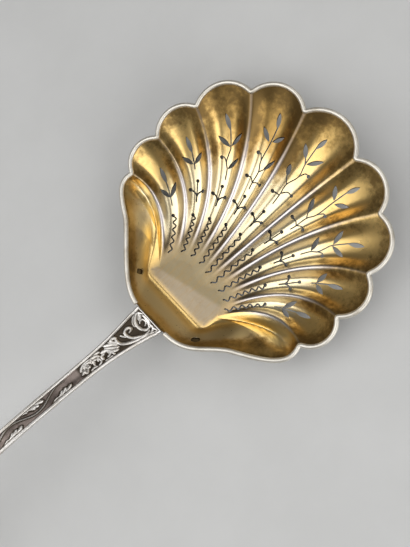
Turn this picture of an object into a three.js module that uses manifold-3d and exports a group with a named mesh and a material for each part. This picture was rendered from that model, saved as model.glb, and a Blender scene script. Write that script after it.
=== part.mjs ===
// A sugar sifter spoon: a raised, fluted and pierced shell bowl with a wire soldered round its rim,
// and a struck handle soldered to the bowl's rear wall over a bent heel plate.
// Millimetres, +Z up, +X from the handle to the tip of the bowl, z = 0 at the table.
// Sizes along X run from the straight rear rim, where the handle meets the bowl. The finished
// spoon is set with its origin in the middle of the flat under the bowl.
import * as THREE from "three";
import { mergeVertices } from "three/addons/utils/BufferGeometryUtils.js";
import Module from "manifold-3d";

const wasm = await Module();
wasm.setup();

// Driving dimensions: bowl
const sheet = 0.8; // thickness of the bowl's silver
const bowlCentre = 37; // rear rim to the middle of the rim circle
const rimRadius = 36; // middle of the rim circle to the notches between lobes
const rimHeight = 13.3; // sheet's edge above the table at the middle of the bowl
const rimRise = 0.122; // climb of the rim for each millimetre towards the tip
const lobeRise = 0.3; // depth of a lobe's arc as a share of its chord
const lobeReach = 3; // how late along a flute its lobe swells
const ribSteepness = 1.6; // power of a rib's climb from the flat to the rim
const fluteSteepness = 2.9; // power of a flute's climb, flatter and then steeper
const ribSharpness = [1.3, 2.6]; // narrowness of the ribs between the broad flutes, at the flat and at the rim
const rearRimHalf = 5.1; // half of the straight rear rim
const creaseDistance = 6.3; // rear rim to the crease at the foot of the rear wall
const wallStart = 0.25; // share of a wing over which the foot of its wall leaves the crease
const wallTop = 0.98; // how near the rim that foot ends, beside the rib
const sheetSpread = 1.8; // most that the sheet's upright depth grows on a steep wall

// Each rib on the left: where it leaves the flat and at what heading, and the rim notch that it runs to
const ribs = [
  { base: [16.7, 1.3], heading: 4, notchAngle: 16.3, notchInset: 2.2 },
  { base: [18.5, 4.8], heading: 8.5, notchAngle: 42.4, notchInset: 0 },
  { base: [17.9, 7.7], heading: 16.3, notchAngle: 67.9, notchInset: 0.2 },
  { base: [15.9, 10.2], heading: 23, notchAngle: 90.3, notchInset: 0.6 },
];
const wingNotchAngle = 110.2; // notch where a wing and its rib end

// The wings are not quite alike, as the bowl is raised by hand: their crease and rib, the shoulder that
// the outline passes, its sweep from the rear rim and bulge at the notch, where the foot of its wall lies
// and over what share of the wing that foot climbs to the rim, and the share that the rib's flank takes
const leftWing = {
  side: 1,
  creaseHalf: 13.4,
  rib: { base: [11.4, 11.8], heading: 35.3, notchAngle: wingNotchAngle, notchInset: 0 },
  shoulder: [14.3, 25.5],
  sweep: 0.25,
  bulge: 1.8,
  wallFoot: 0.42,
  wallRise: [0.86, 1],
  ribShare: 0.16,
};
const rightWing = {
  side: -1,
  creaseHalf: 10.6,
  rib: { base: [13.5, 11.2], heading: 30.8, notchAngle: wingNotchAngle, notchInset: 0 },
  shoulder: [10, 22.3],
  sweep: 0.43,
  bulge: 2.9,
  wallFoot: 0.14,
  wallRise: [0.75, 0.98],
  ribShare: 0.22,
};
const shoulderRun = [0.57, 0.72]; // outline's control point before the shoulder, as shares of it
const shoulderTurn = [0.35, 0.77]; // control point after it, as shares of the way to the notch
const notchRun = 0.6; // last control point, as a share of that way along X

// Driving dimensions: piercing, sawn and drilled through the flutes
const slitWidth = 0.46;
const dotRadius = 0.56;
const waveHeight = 0.44; // half of the sawn wave's swing
const waveLag = 0.014; // waves start later on the left and sooner on the right
const leafWidth = 1.3;
const leafSwell = [0.36, 0.64]; // shares of a leaf's length between which it is full width
const stalkReach = 0.1; // share of a leaf's length that its stalk runs into
const prongLength = 5.8; // middle prong of the three-pronged sprigs
const prongSpread = 1.75; // side prongs' dots from the middle line
const prongSideReach = 3; // side prongs' dots from the sprig's foot
const prongFork = 1.5; // where the side prongs leave the middle one
const lowDrift = [0.1, -0.2, -0.4, -0.4, -0.8, -0.5, -0.2, 0, 0.3]; // waves and sprigs off each flute's middle
const sprayDrift = [0, -0.2, 0, -0.1, -0.8, -0.1, 0, -0.3, 0]; // leaf sprays off it

// Driving dimensions: rim wire, handle and heel plate
const solderGap = 0.3; // room for solder between pieces
const wireRadius = 0.7;
const mitreLimit = 0.6; // least cosine of half a turn at which the wire keeps its width
const handleLength = 128;
const handleProud = 0.5; // handle's face above the rear rim where it starts
const archHeight = 34; // handle's face at the top of its arch
const archDistance = 64; // rear rim to the top of the arch
const restLength = 7; // flat under the handle's end
const endDip = 0.1; // how far the flat is ground into the end
const handleThickness = 2.4;
const jointThickness = 3.2; // handle's depth at the bowl
const neckDistance = 5; // rear rim to the middle of the handle's flare
const neckHalf = 3.95; // half of the handle there
const stemDistance = 19; // rear rim to the stem, where the flare ends
const stemHalf = 2.55; // half of the stem
const waistDistance = 32; // rear rim to the stem's narrowest place
const waistHalf = 2.38; // half of the stem there
const endLength = 43; // spread from the stem to the broad end
const endHalf = 9.2; // half of the broad end
const railWidth = 0.8; // raised border along both edges of the handle
const railDepth = 0.6; // handle's sunk ground below its border
const edgeBevel = 0.35;
const railShare = 0.3; // most of the half width that a rail takes
const bevelShare = 0.2; // most of it that a bevel takes
const groundShare = 0.4; // most of the depth that the sunk ground takes
const handleStations = 44;
const heelThickness = 0.9;
const heelReach = 10; // heel plate under the handle
const heelDrop = 5; // heel plate down the rear wall
const heelHalf = 3.2;
const heelTail = 1.5; // narrowing end under the handle
const heelToe = 1; // narrowing end on the wall
const heelEndShare = 0.55; // width of both ends' edges as a share of the plate's

const radians = THREE.MathUtils.degToRad;
const lerp = THREE.MathUtils.lerp;
const smoothstep = THREE.MathUtils.smoothstep;

// Frame of the bowl: rib curves in plan, from the left wing round to the right one

function ribCurve({ base, heading, notchAngle, notchInset }, side) {
  const foot = new THREE.Vector2(base[0], base[1]);
  const start = new THREE.Vector2(Math.cos(radians(heading)), Math.sin(radians(heading)));
  const finish = new THREE.Vector2(Math.cos(radians(notchAngle)), Math.sin(radians(notchAngle)));
  const notch = finish.clone().multiplyScalar(rimRadius - notchInset);
  notch.x += bowlCentre;
  // the two end tangents cross at the curve's middle control point
  const span = notch.clone().sub(foot);
  const reach = span.cross(finish) / start.cross(finish);
  const middle = foot.clone().addScaledVector(start, reach);
  const points = [foot, middle, notch].map((p) => new THREE.Vector2(p.x, side * p.y));
  return new THREE.QuadraticBezierCurve(...points);
}

const ribCurves = [
  ...[...ribs, leftWing.rib].map((rib) => ribCurve(rib, 1)).reverse(),
  ...[...ribs, rightWing.rib].map((rib) => ribCurve(rib, -1)),
];
const fluteCount = ribCurves.length - 1;
const wingNotch = ribCurves[0].v2;
const flatMiddle = (creaseDistance + ribs[0].base[0]) / 2;
const rearRimHeight = rimEdge(0);
const wallLean = creaseDistance / (rearRimHeight - sheet); // rear wall's way forward for each millimetre down
const wallNormal = new THREE.Vector2(1, wallLean).normalize(); // along X and Z, into the bowl

function rimEdge(x) {
  return rimHeight + rimRise * (Math.max(x, wingNotch.x) - bowlCentre);
}

// One flute between two ribs: q runs across it, t from the flat to the rim
function flutePlan(k, q, t) {
  const from = ribCurves[k];
  const to = ribCurves[k + 1];
  const point = from.getPoint(t).lerp(to.getPoint(t), q);
  const chord = to.v2.clone().sub(from.v2);
  const width = chord.length();
  const depth = lobeRise * width;
  const radius = (width * width * 0.25 + depth * depth) / (2 * depth);
  const swell = Math.sqrt(radius ** 2 - (width * (q - 0.5)) ** 2) - radius + depth;
  const outward = new THREE.Vector2(-chord.y, chord.x).divideScalar(width);
  return point.addScaledVector(outward, swell * t ** lobeReach);
}

// 1 on a rib's crest and 0 at the foot of its flank
function ridgeShare(flank, t) {
  return ((1 + Math.cos(Math.PI * flank)) / 2) ** lerp(...ribSharpness, t);
}

function fluteClimb(q, t) {
  return lerp(t ** fluteSteepness, t ** ribSteepness, ridgeShare(2 * Math.min(q, 1 - q), t));
}

// Plain wing, drawn on the left: q runs from the rear wall's corner to the wing's rib
function wingOutline({ shoulder, sweep, bulge }) {
  const [x, y] = shoulder;
  const middle = new THREE.Vector2(x, y);
  const outline = new THREE.CurvePath();
  outline.add(
    new THREE.CubicBezierCurve(
      new THREE.Vector2(0, rearRimHalf),
      new THREE.Vector2(0, rearRimHalf + sweep * y),
      new THREE.Vector2(shoulderRun[0] * x, shoulderRun[1] * y),
      middle,
    ),
  );
  outline.add(
    new THREE.CubicBezierCurve(
      middle,
      new THREE.Vector2(lerp(x, wingNotch.x, shoulderTurn[0]), lerp(y, wingNotch.y, shoulderTurn[1])),
      new THREE.Vector2(lerp(x, wingNotch.x, notchRun), wingNotch.y + bulge),
      wingNotch,
    ),
  );
  return outline;
}

for (const wing of [leftWing, rightWing]) {
  wing.outline = wingOutline(wing);
  wing.ribCurve = ribCurve(wing.rib, 1);
}

const toSide = (wing, point) => new THREE.Vector2(point.x, wing.side * point.y);

function wingPlan(wing, q, t) {
  const { v0, v2 } = wing.ribCurve;
  const foot = new THREE.Vector2(creaseDistance, wing.creaseHalf).lerp(v0, q);
  const point = foot.lerp(wing.outline.getPoint(q), t);
  const bend = wing.ribCurve.getPoint(t).sub(v0.clone().lerp(v2, t));
  return toSide(wing, point.addScaledVector(bend, q * q));
}

// The wing's floor is level up to the foot of its wall, which climbs to the rim beside the rib
function wingFoot({ wallFoot, wallRise }, q) {
  return lerp(wallFoot * smoothstep(q, 0, wallStart), wallTop, smoothstep(q, ...wallRise));
}

function wingClimb(wing, q, t) {
  const foot = wingFoot(wing, q);
  const wall = Math.max(0, t - foot) / (1 - foot);
  const flank = Math.min(1, (1 - q) / wing.ribShare);
  return lerp(wall, t ** ribSteepness, ridgeShare(flank, t));
}

// Columns of the bowl's surface, once round: left wing, flutes, right wing, rear wall
const acrossFlute = [0, 0.12, 0.3, 0.5, 0.7, 0.88];
const acrossWing = [0, 0.14, 0.28, 0.43, 0.58, 0.72, 0.84, 0.93];
const upBowl = [0, 0.17, 0.34, 0.5, 0.64, 0.76, 0.87, 0.95, 1];

// A wing's column has one of its rows moved on to the foot of the wall
function wingColumn(wing, q) {
  const foot = wingFoot(wing, q);
  const inner = upBowl.slice(1, -1);
  const nearest = inner.reduce((best, t) => (Math.abs(t - foot) < Math.abs(best - foot) ? t : best));
  return {
    plan: (t) => wingPlan(wing, q, t),
    climb: (t) => wingClimb(wing, q, t),
    rows: upBowl.map((t) => (q && t === nearest ? foot : t)),
    rear: q === 0,
  };
}

function bowlColumns() {
  const columns = acrossWing.map((q) => wingColumn(leftWing, q));
  for (let k = 0; k < fluteCount; k++)
    for (const q of acrossFlute)
      columns.push({ plan: (t) => flutePlan(k, q, t), climb: (t) => fluteClimb(q, t), rows: upBowl });
  for (const across of [1, ...acrossWing.slice(1).reverse()]) columns.push(wingColumn(rightWing, across));
  for (const q of [0, 0.5]) {
    const foot = new THREE.Vector2(creaseDistance, lerp(-rightWing.creaseHalf, leftWing.creaseHalf, q));
    const edge = new THREE.Vector2(0, lerp(-rearRimHalf, rearRimHalf, q));
    columns.push({ plan: (t) => foot.clone().lerp(edge, t), climb: (t) => t, rows: upBowl, rear: true });
  }
  return columns;
}

// The bowl's inner face as rows of points, and its outer face a sheet's thickness below it
function bowlSheet() {
  const columns = bowlColumns();
  const inner = columns.map(({ plan, climb, rows }) =>
    rows.map((t) => {
      const p = plan(t);
      return new THREE.Vector3(p.x, p.y, sheet + (rimEdge(p.x) - sheet) * climb(t));
    }),
  );
  const last = upBowl.length - 1;
  const outer = inner.map((column, i) =>
    column.map((p, j) => {
      if (j === 0) return new THREE.Vector3(p.x, p.y, 0);
      // the rear wall's edge is square to the sheet, where the handle's end bears on it
      if (j === last && columns[i].rear)
        return new THREE.Vector3(p.x - sheet * wallNormal.x, p.y, p.z - sheet * wallNormal.y);
      const next = inner[(i + 1) % inner.length][j];
      const previous = inner[(i + inner.length - 1) % inner.length][j];
      const along = column[Math.min(j + 1, last)].clone().sub(column[j - 1]);
      const normal = next.clone().sub(previous).cross(along).normalize();
      const drop = sheet * Math.min(1 / Math.abs(normal.z), sheetSpread);
      return new THREE.Vector3(p.x, p.y, Math.max(0, p.z - drop));
    }),
  );
  return closedSkin(inner, outer);
}

// A closed solid from two skins of columns that go once round, with a fan over each skin's middle
function closedSkin(upper, lower) {
  const count = upper.length;
  const rows = upper[0].length;
  const middle = new THREE.Vector3(flatMiddle, 0, sheet);
  const points = [...upper.flat(), ...lower.flat(), middle, middle.clone().setZ(0)];
  const faces = [];
  const at = (skin, i, j) => (skin * count + (i % count)) * rows + j;
  const top = 2 * count * rows;
  for (let i = 0; i < count; i++) {
    for (let j = 0; j + 1 < rows; j++) {
      const [a, b, c, d] = [at(0, i, j), at(0, i + 1, j), at(0, i + 1, j + 1), at(0, i, j + 1)];
      faces.push(a, b, c, a, c, d);
      const [e, f, g, h] = [at(1, i, j), at(1, i + 1, j), at(1, i + 1, j + 1), at(1, i, j + 1)];
      faces.push(e, g, f, e, h, g);
    }
    const edge = rows - 1;
    const [a, b, c, d] = [at(0, i, edge), at(0, i + 1, edge), at(1, i + 1, edge), at(1, i, edge)];
    faces.push(a, b, c, a, c, d);
    faces.push(top, at(0, i + 1, 0), at(0, i, 0));
    faces.push(top + 1, at(1, i, 0), at(1, i + 1, 0));
  }
  return skinGeometry(points, faces);
}

function skinGeometry(points, faces) {
  const geometry = new THREE.BufferGeometry().setFromPoints(points);
  geometry.setIndex(faces);
  return geometry;
}

// Solids for joining and cutting

function solidOf(geometry) {
  const bare = geometry.clone();
  bare.deleteAttribute("normal");
  bare.deleteAttribute("uv");
  const merged = mergeVertices(bare, 1e-4);
  return new wasm.Manifold(
    new wasm.Mesh({
      numProp: 3,
      vertProperties: merged.attributes.position.array,
      triVerts: new Uint32Array(merged.index.array),
    }),
  );
}

function geometryOf(solid) {
  const { vertProperties, triVerts } = solid.getMesh();
  const geometry = new THREE.BufferGeometry();
  geometry.setAttribute("position", new THREE.BufferAttribute(vertProperties, 3));
  geometry.setIndex(new THREE.BufferAttribute(triVerts, 1));
  return geometry;
}

// Piercing: every opening is an outline in plan, sunk straight through the sheet

const cutDepth = 3 * rimHeight;

function opening(outline) {
  const shape = new THREE.Shape(outline);
  const geometry = new THREE.ExtrudeGeometry(shape, { depth: cutDepth, bevelEnabled: false });
  return solidOf(geometry.translate(0, 0, -cutDepth / 3));
}

// A point on a flute, t along its middle line and a distance across it
function onFlute(k, drift, [t, across]) {
  const step = 0.01;
  const point = flutePlan(k, 0.5, t);
  const along = flutePlan(k, 0.5, t + step).sub(flutePlan(k, 0.5, t - step)).normalize();
  const side = new THREE.Vector2(along.y, -along.x);
  return { point: point.addScaledVector(side, drift[k] * Math.min(1, 3 * t) + across), along, side };
}

function slit(points) {
  const left = [];
  const right = [];
  points.forEach((p, i) => {
    const before = points[Math.max(0, i - 1)];
    const after = points[Math.min(points.length - 1, i + 1)];
    const along = after.clone().sub(before).normalize();
    const normal = new THREE.Vector2(-along.y, along.x).multiplyScalar(slitWidth / 2);
    left.push(p.clone().add(normal));
    right.unshift(p.clone().sub(normal));
  });
  return opening([...left, ...right]);
}

function dot(centre) {
  const corners = 6;
  const outline = [];
  for (let i = 0; i < corners; i++) {
    const turn = (2 * Math.PI * (i + 0.5)) / corners;
    outline.push(new THREE.Vector2(Math.cos(turn), Math.sin(turn)).multiplyScalar(dotRadius).add(centre));
  }
  return opening(outline);
}

// A pointed leaf from its foot to its tip
function leaf(foot, tip) {
  const along = tip.clone().sub(foot);
  const side = new THREE.Vector2(-along.y, along.x).normalize();
  const point = (share, sign) =>
    foot.clone().addScaledVector(along, share).addScaledVector(side, (sign * leafWidth) / 2);
  const [low, high] = leafSwell;
  return opening([foot, point(low, -1), point(high, -1), tip, point(high, 1), point(low, 1)]);
}

function wavyCut(k, [start, end, waves]) {
  const points = [];
  const turns = 2 * waves;
  const first = start + waveLag * Math.sign(fluteCount - 1 - 2 * k);
  for (let i = 0; i <= turns; i++) {
    const swing = i % 2 ? waveHeight : -waveHeight;
    points.push(onFlute(k, lowDrift, [lerp(first, end, i / turns), swing]).point);
  }
  return [slit(points), dot(points.at(-1))];
}

function prong(k, start) {
  const { point: foot, along, side } = onFlute(k, lowDrift, [start, 0]);
  const place = (reach, across) => foot.clone().addScaledVector(along, reach).addScaledVector(side, across);
  const cuts = [slit([foot, place(prongLength, 0)]), dot(place(prongLength, 0))];
  for (const across of [-prongSpread, prongSpread]) {
    const end = place(prongSideReach, across);
    cuts.push(slit([place(prongFork, 0), end]), dot(end));
  }
  return cuts;
}

// A spray: a stem through points (t, across), leaves from foot to tip, and tendrils that end in a dot
function spray(k, mirrored, { stem, leaves, tendrils = [] }) {
  const place = ([t, across]) => onFlute(k, sprayDrift, [t, mirrored ? -across : across]).point;
  const cuts = [slit(stem.map(place))];
  for (const [foot, tip, stalk] of leaves) {
    cuts.push(leaf(place(foot), place(tip)));
    if (stalk) cuts.push(slit([place(stalk), place(foot).lerp(place(tip), stalkReach)]));
  }
  for (const [foot, end] of tendrils) cuts.push(slit([place(foot), place(end)]), dot(place(end)));
  return cuts;
}

const edgeFlute = {
  wave: [0.05, 0.365, 5],
  spray: {
    stem: [[0.457, -0.3], [0.527, -0.2], [0.66, 0.3]],
    leaves: [[[0.53, -0.3], [0.63, -2.1]], [[0.53, -0.1], [0.63, 3]], [[0.65, 0.3], [0.795, 1.2]]],
  },
};
const sideFlute = {
  wave: [0.03, 0.3, 6],
  prong: 0.398,
  spray: {
    stem: [[0.63, 0.2], [0.662, 0.35], [0.74, 0.7]],
    leaves: [[[0.662, 0.1], [0.727, -2.4]], [[0.662, 0.5], [0.717, 3.5]], [[0.73, 0.7], [0.843, 0.85]]],
  },
};
const flankFlute = {
  wave: [0.02, 0.269, 6],
  prong: 0.353,
  spray: {
    stem: [[0.517, 0.3], [0.577, 0.35], [0.615, -0.1], [0.7, 1], [0.79, 1.05]],
    leaves: [
      [[0.577, 0.4], [0.636, 3.65]],
      [[0.7, 0.9], [0.758, -2.65]],
      [[0.705, 1.2], [0.762, 4.5]],
      [[0.78, 1.05], [0.872, 0]],
    ],
    tendrils: [[[0.615, -0.1], [0.64, -1.55]]],
  },
};
const frontFlute = {
  wave: [0.03, 0.277, 6],
  prong: 0.346,
  spray: {
    stem: [[0.498, -0.1], [0.532, -0.1], [0.595, 0.25], [0.65, -0.35], [0.745, 0.45], [0.83, 1.1]],
    leaves: [
      [[0.612, 1.2], [0.673, 3.85], [0.595, 0.25]],
      [[0.75, 0.3], [0.81, -2.8]],
      [[0.755, 0.8], [0.79, 4.1]],
      [[0.82, 1.1], [0.892, 0.65]],
    ],
    tendrils: [[[0.532, -0.1], [0.551, -2.2]], [[0.532, 0], [0.535, 2.4]], [[0.65, -0.35], [0.683, -1.9]]],
  },
};
const tipFlute = {
  wave: [0.045, 0.286, 6],
  prong: 0.346,
  spray: {
    stem: [[0.505, 0.3], [0.56, 0], [0.617, -0.5], [0.684, 0.7], [0.75, -0.2], [0.84, -0.6]],
    leaves: [
      [[0.646, -1.9], [0.701, -3.2], [0.617, -0.5]],
      [[0.765, -1], [0.816, -3.7], [0.745, -0.15]],
      [[0.75, 0], [0.814, 3.6]],
      [[0.83, -0.6], [0.896, 0.3]],
    ],
    tendrils: [[[0.555, 0], [0.546, -2]], [[0.568, 0], [0.593, 2.9]], [[0.684, 0.7], [0.716, 2.8]]],
  },
};

function piercing() {
  const half = [edgeFlute, sideFlute, flankFlute, frontFlute];
  const motifs = [...half, tipFlute, ...half.slice().reverse()];
  return motifs.flatMap((motif, k) => [
    ...wavyCut(k, motif.wave),
    ...(motif.prong ? prong(k, motif.prong) : []),
    ...spray(k, k > half.length, motif.spray),
  ]);
}

function bowlGeometry() {
  const cuts = wasm.Manifold.union(piercing());
  return geometryOf(solidOf(bowlSheet()).subtract(cuts));
}

// Lofts: closed solids through rings of points that match one to one

function loft(rings) {
  const size = rings[0].length;
  const points = rings.flat();
  const faces = [];
  for (let i = 0; i + 1 < rings.length; i++)
    for (let j = 0; j < size; j++) {
      const a = i * size + j;
      const b = i * size + ((j + 1) % size);
      faces.push(a, b, b + size, a, b + size, a + size);
    }
  const end = (rings.length - 1) * size;
  const cap = THREE.ShapeUtils.triangulateShape(flatten(rings[0]), []);
  const endCap = THREE.ShapeUtils.triangulateShape(flatten(rings.at(-1)), []);
  for (const [a, b, c] of cap) faces.push(a, c, b);
  for (const [a, b, c] of endCap) faces.push(end + a, end + b, end + c);
  return skinGeometry(points, faces);
}

// A ring's own plane as two flat coordinates, counter-clockwise in the ring's order
function flatten(ring) {
  const normal = new THREE.Vector3();
  ring.forEach((p, i) => normal.add(p.clone().cross(ring[(i + 1) % ring.length])));
  normal.normalize();
  const across = ring[1].clone().sub(ring[0]).normalize();
  const up = normal.clone().cross(across);
  return ring.map((p) => new THREE.Vector2(p.dot(across), p.dot(up)));
}

// Rim wire: lies on the sheet's edge from one corner of the handle round to the other

function wireGeometry() {
  const route = bowlColumns().filter(({ rear }) => !rear).map(({ plan }) => plan(1));
  // it starts and ends a solder gap from the handle's corners
  const startOf = (wing) => toSide(wing, wing.outline.getPoint(solderGap / wing.outline.getLength()));
  route.unshift(startOf(leftWing));
  route.push(startOf(rightWing));
  const sides = 8;
  const corner = wireRadius / Math.cos(Math.PI / sides); // the flats of the ring touch the wire's circle
  const rings = route.map((p, i) => {
    const before = route[Math.max(0, i - 1)];
    const after = route[Math.min(route.length - 1, i + 1)];
    const into = p.clone().sub(before).normalize();
    const out = after.clone().sub(p).normalize();
    const along = into.clone().add(out).normalize();
    const cosine = Math.max(along.dot(into.lengthSq() ? into : out), mitreLimit);
    const centre = new THREE.Vector3(p.x, p.y, rimEdge(p.x) + solderGap + wireRadius);
    const ring = [];
    for (let s = 0; s < sides; s++) {
      const turn = (2 * Math.PI * (s + 0.5)) / sides;
      const sideways = (corner * Math.cos(turn)) / cosine;
      const rise = corner * Math.sin(turn);
      ring.push(new THREE.Vector3(-along.y * sideways, along.x * sideways, rise).add(centre));
    }
    return ring;
  });
  return loft(rings);
}

// Handle: side profile of its face, its width and its depth along X

const handleStart = -handleProud * wallLean - (sheet + solderGap) / wallNormal.x;
const handleEnd = handleStart - handleLength;
const restHeight = handleThickness;
const jointTop = rearRimHeight + handleProud;

const faceLine = new THREE.SplineCurve([
  new THREE.Vector2(handleStart, jointTop),
  new THREE.Vector2(-0.36 * archDistance, lerp(jointTop, archHeight, 0.5)),
  new THREE.Vector2(-0.7 * archDistance, lerp(jointTop, archHeight, 0.87)),
  new THREE.Vector2(-archDistance, archHeight),
  new THREE.Vector2(lerp(-archDistance, handleEnd, 0.34), archHeight * 0.84),
  new THREE.Vector2(lerp(-archDistance, handleEnd, 0.66), archHeight * 0.45),
  new THREE.Vector2(handleEnd + 2 * restLength, archHeight * 0.18),
  new THREE.Vector2(handleEnd + restLength, restHeight),
  new THREE.Vector2(handleEnd, restHeight - endDip),
]);
const widthLine = new THREE.SplineCurve([
  new THREE.Vector2(0, rearRimHalf),
  new THREE.Vector2(neckDistance, neckHalf),
  new THREE.Vector2(stemDistance, stemHalf),
  new THREE.Vector2(waistDistance, waistHalf),
  new THREE.Vector2(archDistance, stemHalf),
  new THREE.Vector2(handleLength - endLength, lerp(stemHalf, endHalf, 0.13)),
  new THREE.Vector2(handleLength - 0.56 * endLength, lerp(stemHalf, endHalf, 0.67)),
  new THREE.Vector2(handleLength - 0.3 * endLength, endHalf),
  new THREE.Vector2(handleLength - 0.11 * endLength, 0.8 * endHalf),
  new THREE.Vector2(handleLength, 0.3 * endHalf),
]);

// Where a spline that always moves on in X reaches a given X
function splineAt(spline, x) {
  const forward = spline.points.at(-1).x > spline.points[0].x ? 1 : -1;
  let low = 0;
  let high = 1;
  for (let i = 0; i < 30; i++) {
    const middle = (low + high) / 2;
    if (forward * (x - spline.getPoint(middle).x) > 0) low = middle;
    else high = middle;
  }
  return spline.getPoint(low).y;
}

const faceAt = (x) => splineAt(faceLine, x);
const halfAt = (x) => splineAt(widthLine, handleStart - x);

function undersideAt(x) {
  const taper = Math.max(0, 1 + x / heelReach);
  const depth = lerp(handleThickness, jointThickness, taper);
  const step = handleLength / 256;
  const slope = (faceAt(x) - faceAt(x - step)) / step;
  const drop = depth * Math.sqrt(1 + Math.min(slope * slope, 1));
  return Math.max(0, faceAt(x) - drop);
}

function handleGeometry() {
  const rings = [];
  for (let i = 0; i <= handleStations; i++) {
    const x = lerp(handleStart, handleEnd, i / handleStations);
    const half = halfAt(x);
    const face = faceAt(x);
    const depth = face - undersideAt(x);
    const rail = Math.min(railWidth, railShare * half);
    const bevel = Math.min(edgeBevel, bevelShare * half);
    const ground = Math.min(railDepth, groundShare * depth);
    const edge = [
      [half - 2 * bevel, depth],
      [half, depth - 2 * bevel],
      [half, bevel],
      [half - bevel, 0],
      [half - rail, 0],
      [half - rail - bevel, ground],
    ];
    const outline = [...edge.map(([y, down]) => [-y, down]), ...edge.toReversed()];
    const lean = i ? 0 : wallLean; // the end at the bowl is cut to the leaning wall
    rings.push(outline.map(([y, down]) => new THREE.Vector3(x + lean * down, y, face - down)));
  }
  return loft(rings);
}

// Heel plate: a strap bent under the joint, along the handle and then down the rear wall

function heelGeometry() {
  const faceTop = rearRimHeight - sheet / wallNormal.y; // outer face at x = 0
  const onWall = (x, off) =>
    new THREE.Vector2(x - off * wallNormal.x, faceTop - x / wallLean - off * wallNormal.y);
  const under = (x, off) => new THREE.Vector2(x, undersideAt(x) - off);
  const near = solderGap;
  const far = solderGap + heelThickness;
  // the bend, where the handle's underside meets the wall
  const bend = (off) => {
    let low = -heelReach / 2;
    let high = creaseDistance;
    for (let i = 0; i < 40; i++) {
      const x = (low + high) / 2;
      const shift = off * wallNormal.x;
      const wall = onWall(x + shift, off).y;
      if (wall > undersideAt(Math.min(x, handleStart)) - off) low = x;
      else high = x;
    }
    return new THREE.Vector2(low, undersideAt(Math.min(low, handleStart)) - off);
  };
  const drop = heelDrop * wallNormal.y;
  const foot = bend(near).x + drop;
  const line = (off) => [
    under(-heelReach - heelTail, off),
    under(-heelReach, off),
    under(-0.5 * heelReach, off),
    bend(off),
    onWall(foot + off * wallNormal.x, off),
    onWall(foot + heelToe + off * wallNormal.x, off),
  ];
  const narrow = halfAt(-heelReach) - 3 * edgeBevel;
  const middle = (narrow + heelHalf) / 2;
  const halves = [heelEndShare * narrow, narrow, middle, heelHalf, heelHalf, heelEndShare * heelHalf];
  const upper = line(near);
  const lower = line(far);
  const rings = halves.map((half, i) => [
    new THREE.Vector3(upper[i].x, half, upper[i].y),
    new THREE.Vector3(upper[i].x, -half, upper[i].y),
    new THREE.Vector3(lower[i].x, -half, lower[i].y),
    new THREE.Vector3(lower[i].x, half, lower[i].y),
  ]);
  return loft(rings);
}

// Assembly

function piece(name, geometry, colour, roughness) {
  geometry.computeVertexNormals();
  const material = new THREE.MeshStandardMaterial({ color: colour, roughness, metalness: 1 });
  const mesh = new THREE.Mesh(geometry, material);
  mesh.name = name;
  return mesh;
}

const gilt = 0xb8955a;
const silver = 0xd6d2ca;
const darkenedSilver = 0xa39d94;

const assembly = new THREE.Group();
assembly.add(piece("shell_bowl", bowlGeometry(), gilt, 0.38));
assembly.add(piece("rim_wire", wireGeometry(), silver, 0.25));
assembly.add(piece("handle", handleGeometry(), darkenedSilver, 0.3));
assembly.add(piece("heel_plate", heelGeometry(), silver, 0.3));
assembly.position.x = -flatMiddle;

const spoon = new THREE.Group();
spoon.add(assembly);

export default spoon;
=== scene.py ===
import bpy
import numpy as np
from mathutils import Matrix, Vector
from mathutils.geometry import delaunay_2d_cdt


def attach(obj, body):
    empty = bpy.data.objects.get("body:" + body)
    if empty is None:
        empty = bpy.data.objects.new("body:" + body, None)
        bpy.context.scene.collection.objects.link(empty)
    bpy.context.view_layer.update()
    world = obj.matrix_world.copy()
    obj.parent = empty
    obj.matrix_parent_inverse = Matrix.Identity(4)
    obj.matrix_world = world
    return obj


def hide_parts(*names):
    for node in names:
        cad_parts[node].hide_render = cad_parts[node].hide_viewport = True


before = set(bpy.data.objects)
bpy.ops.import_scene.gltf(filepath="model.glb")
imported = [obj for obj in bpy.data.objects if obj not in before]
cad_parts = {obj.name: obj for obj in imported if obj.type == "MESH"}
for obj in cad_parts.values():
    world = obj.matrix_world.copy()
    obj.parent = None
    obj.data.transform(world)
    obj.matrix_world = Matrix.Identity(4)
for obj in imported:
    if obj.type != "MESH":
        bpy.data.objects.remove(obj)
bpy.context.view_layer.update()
print("frame loaded with", len(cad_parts), "nodes")

# Every shape below is in millimetres from the straight rear rim of the bowl, +X to its tip, z = 0 on
# the table. putMesh sets it in the frame, whose origin is the middle of the flat under the bowl.
millimetre = 0.001


def lerp(a, b, t):  # a at 0, b at 1
    return a + (b - a) * t


def smooth(low, high, x):  # 0 below low, 1 above high, an S between them
    s = np.clip((x - low) / (high - low), 0, 1)
    return s * s * (3 - 2 * s)


def plateau(start, full, ebb, end, x):  # climbs from start to full, and falls from ebb to end
    return smooth(start, full, x) * (1 - smooth(ebb, end, x))


def unit(v):  # vectors of length 1
    return v / np.maximum(np.linalg.norm(v, axis=-1, keepdims=True), 1e-12)


def cross2(a, b):  # area that two vectors in plan span
    return a[..., 0] * b[..., 1] - a[..., 1] * b[..., 0]


def bezier(points, t):  # quadratic or cubic curve: each pass blends neighbours until one point is left
    rest = [points[..., i, :] for i in range(points.shape[-2])]
    while len(rest) > 1:
        rest = [lerp(a, b, t[..., None]) for a, b in zip(rest, rest[1:])]
    return rest[0]


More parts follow.
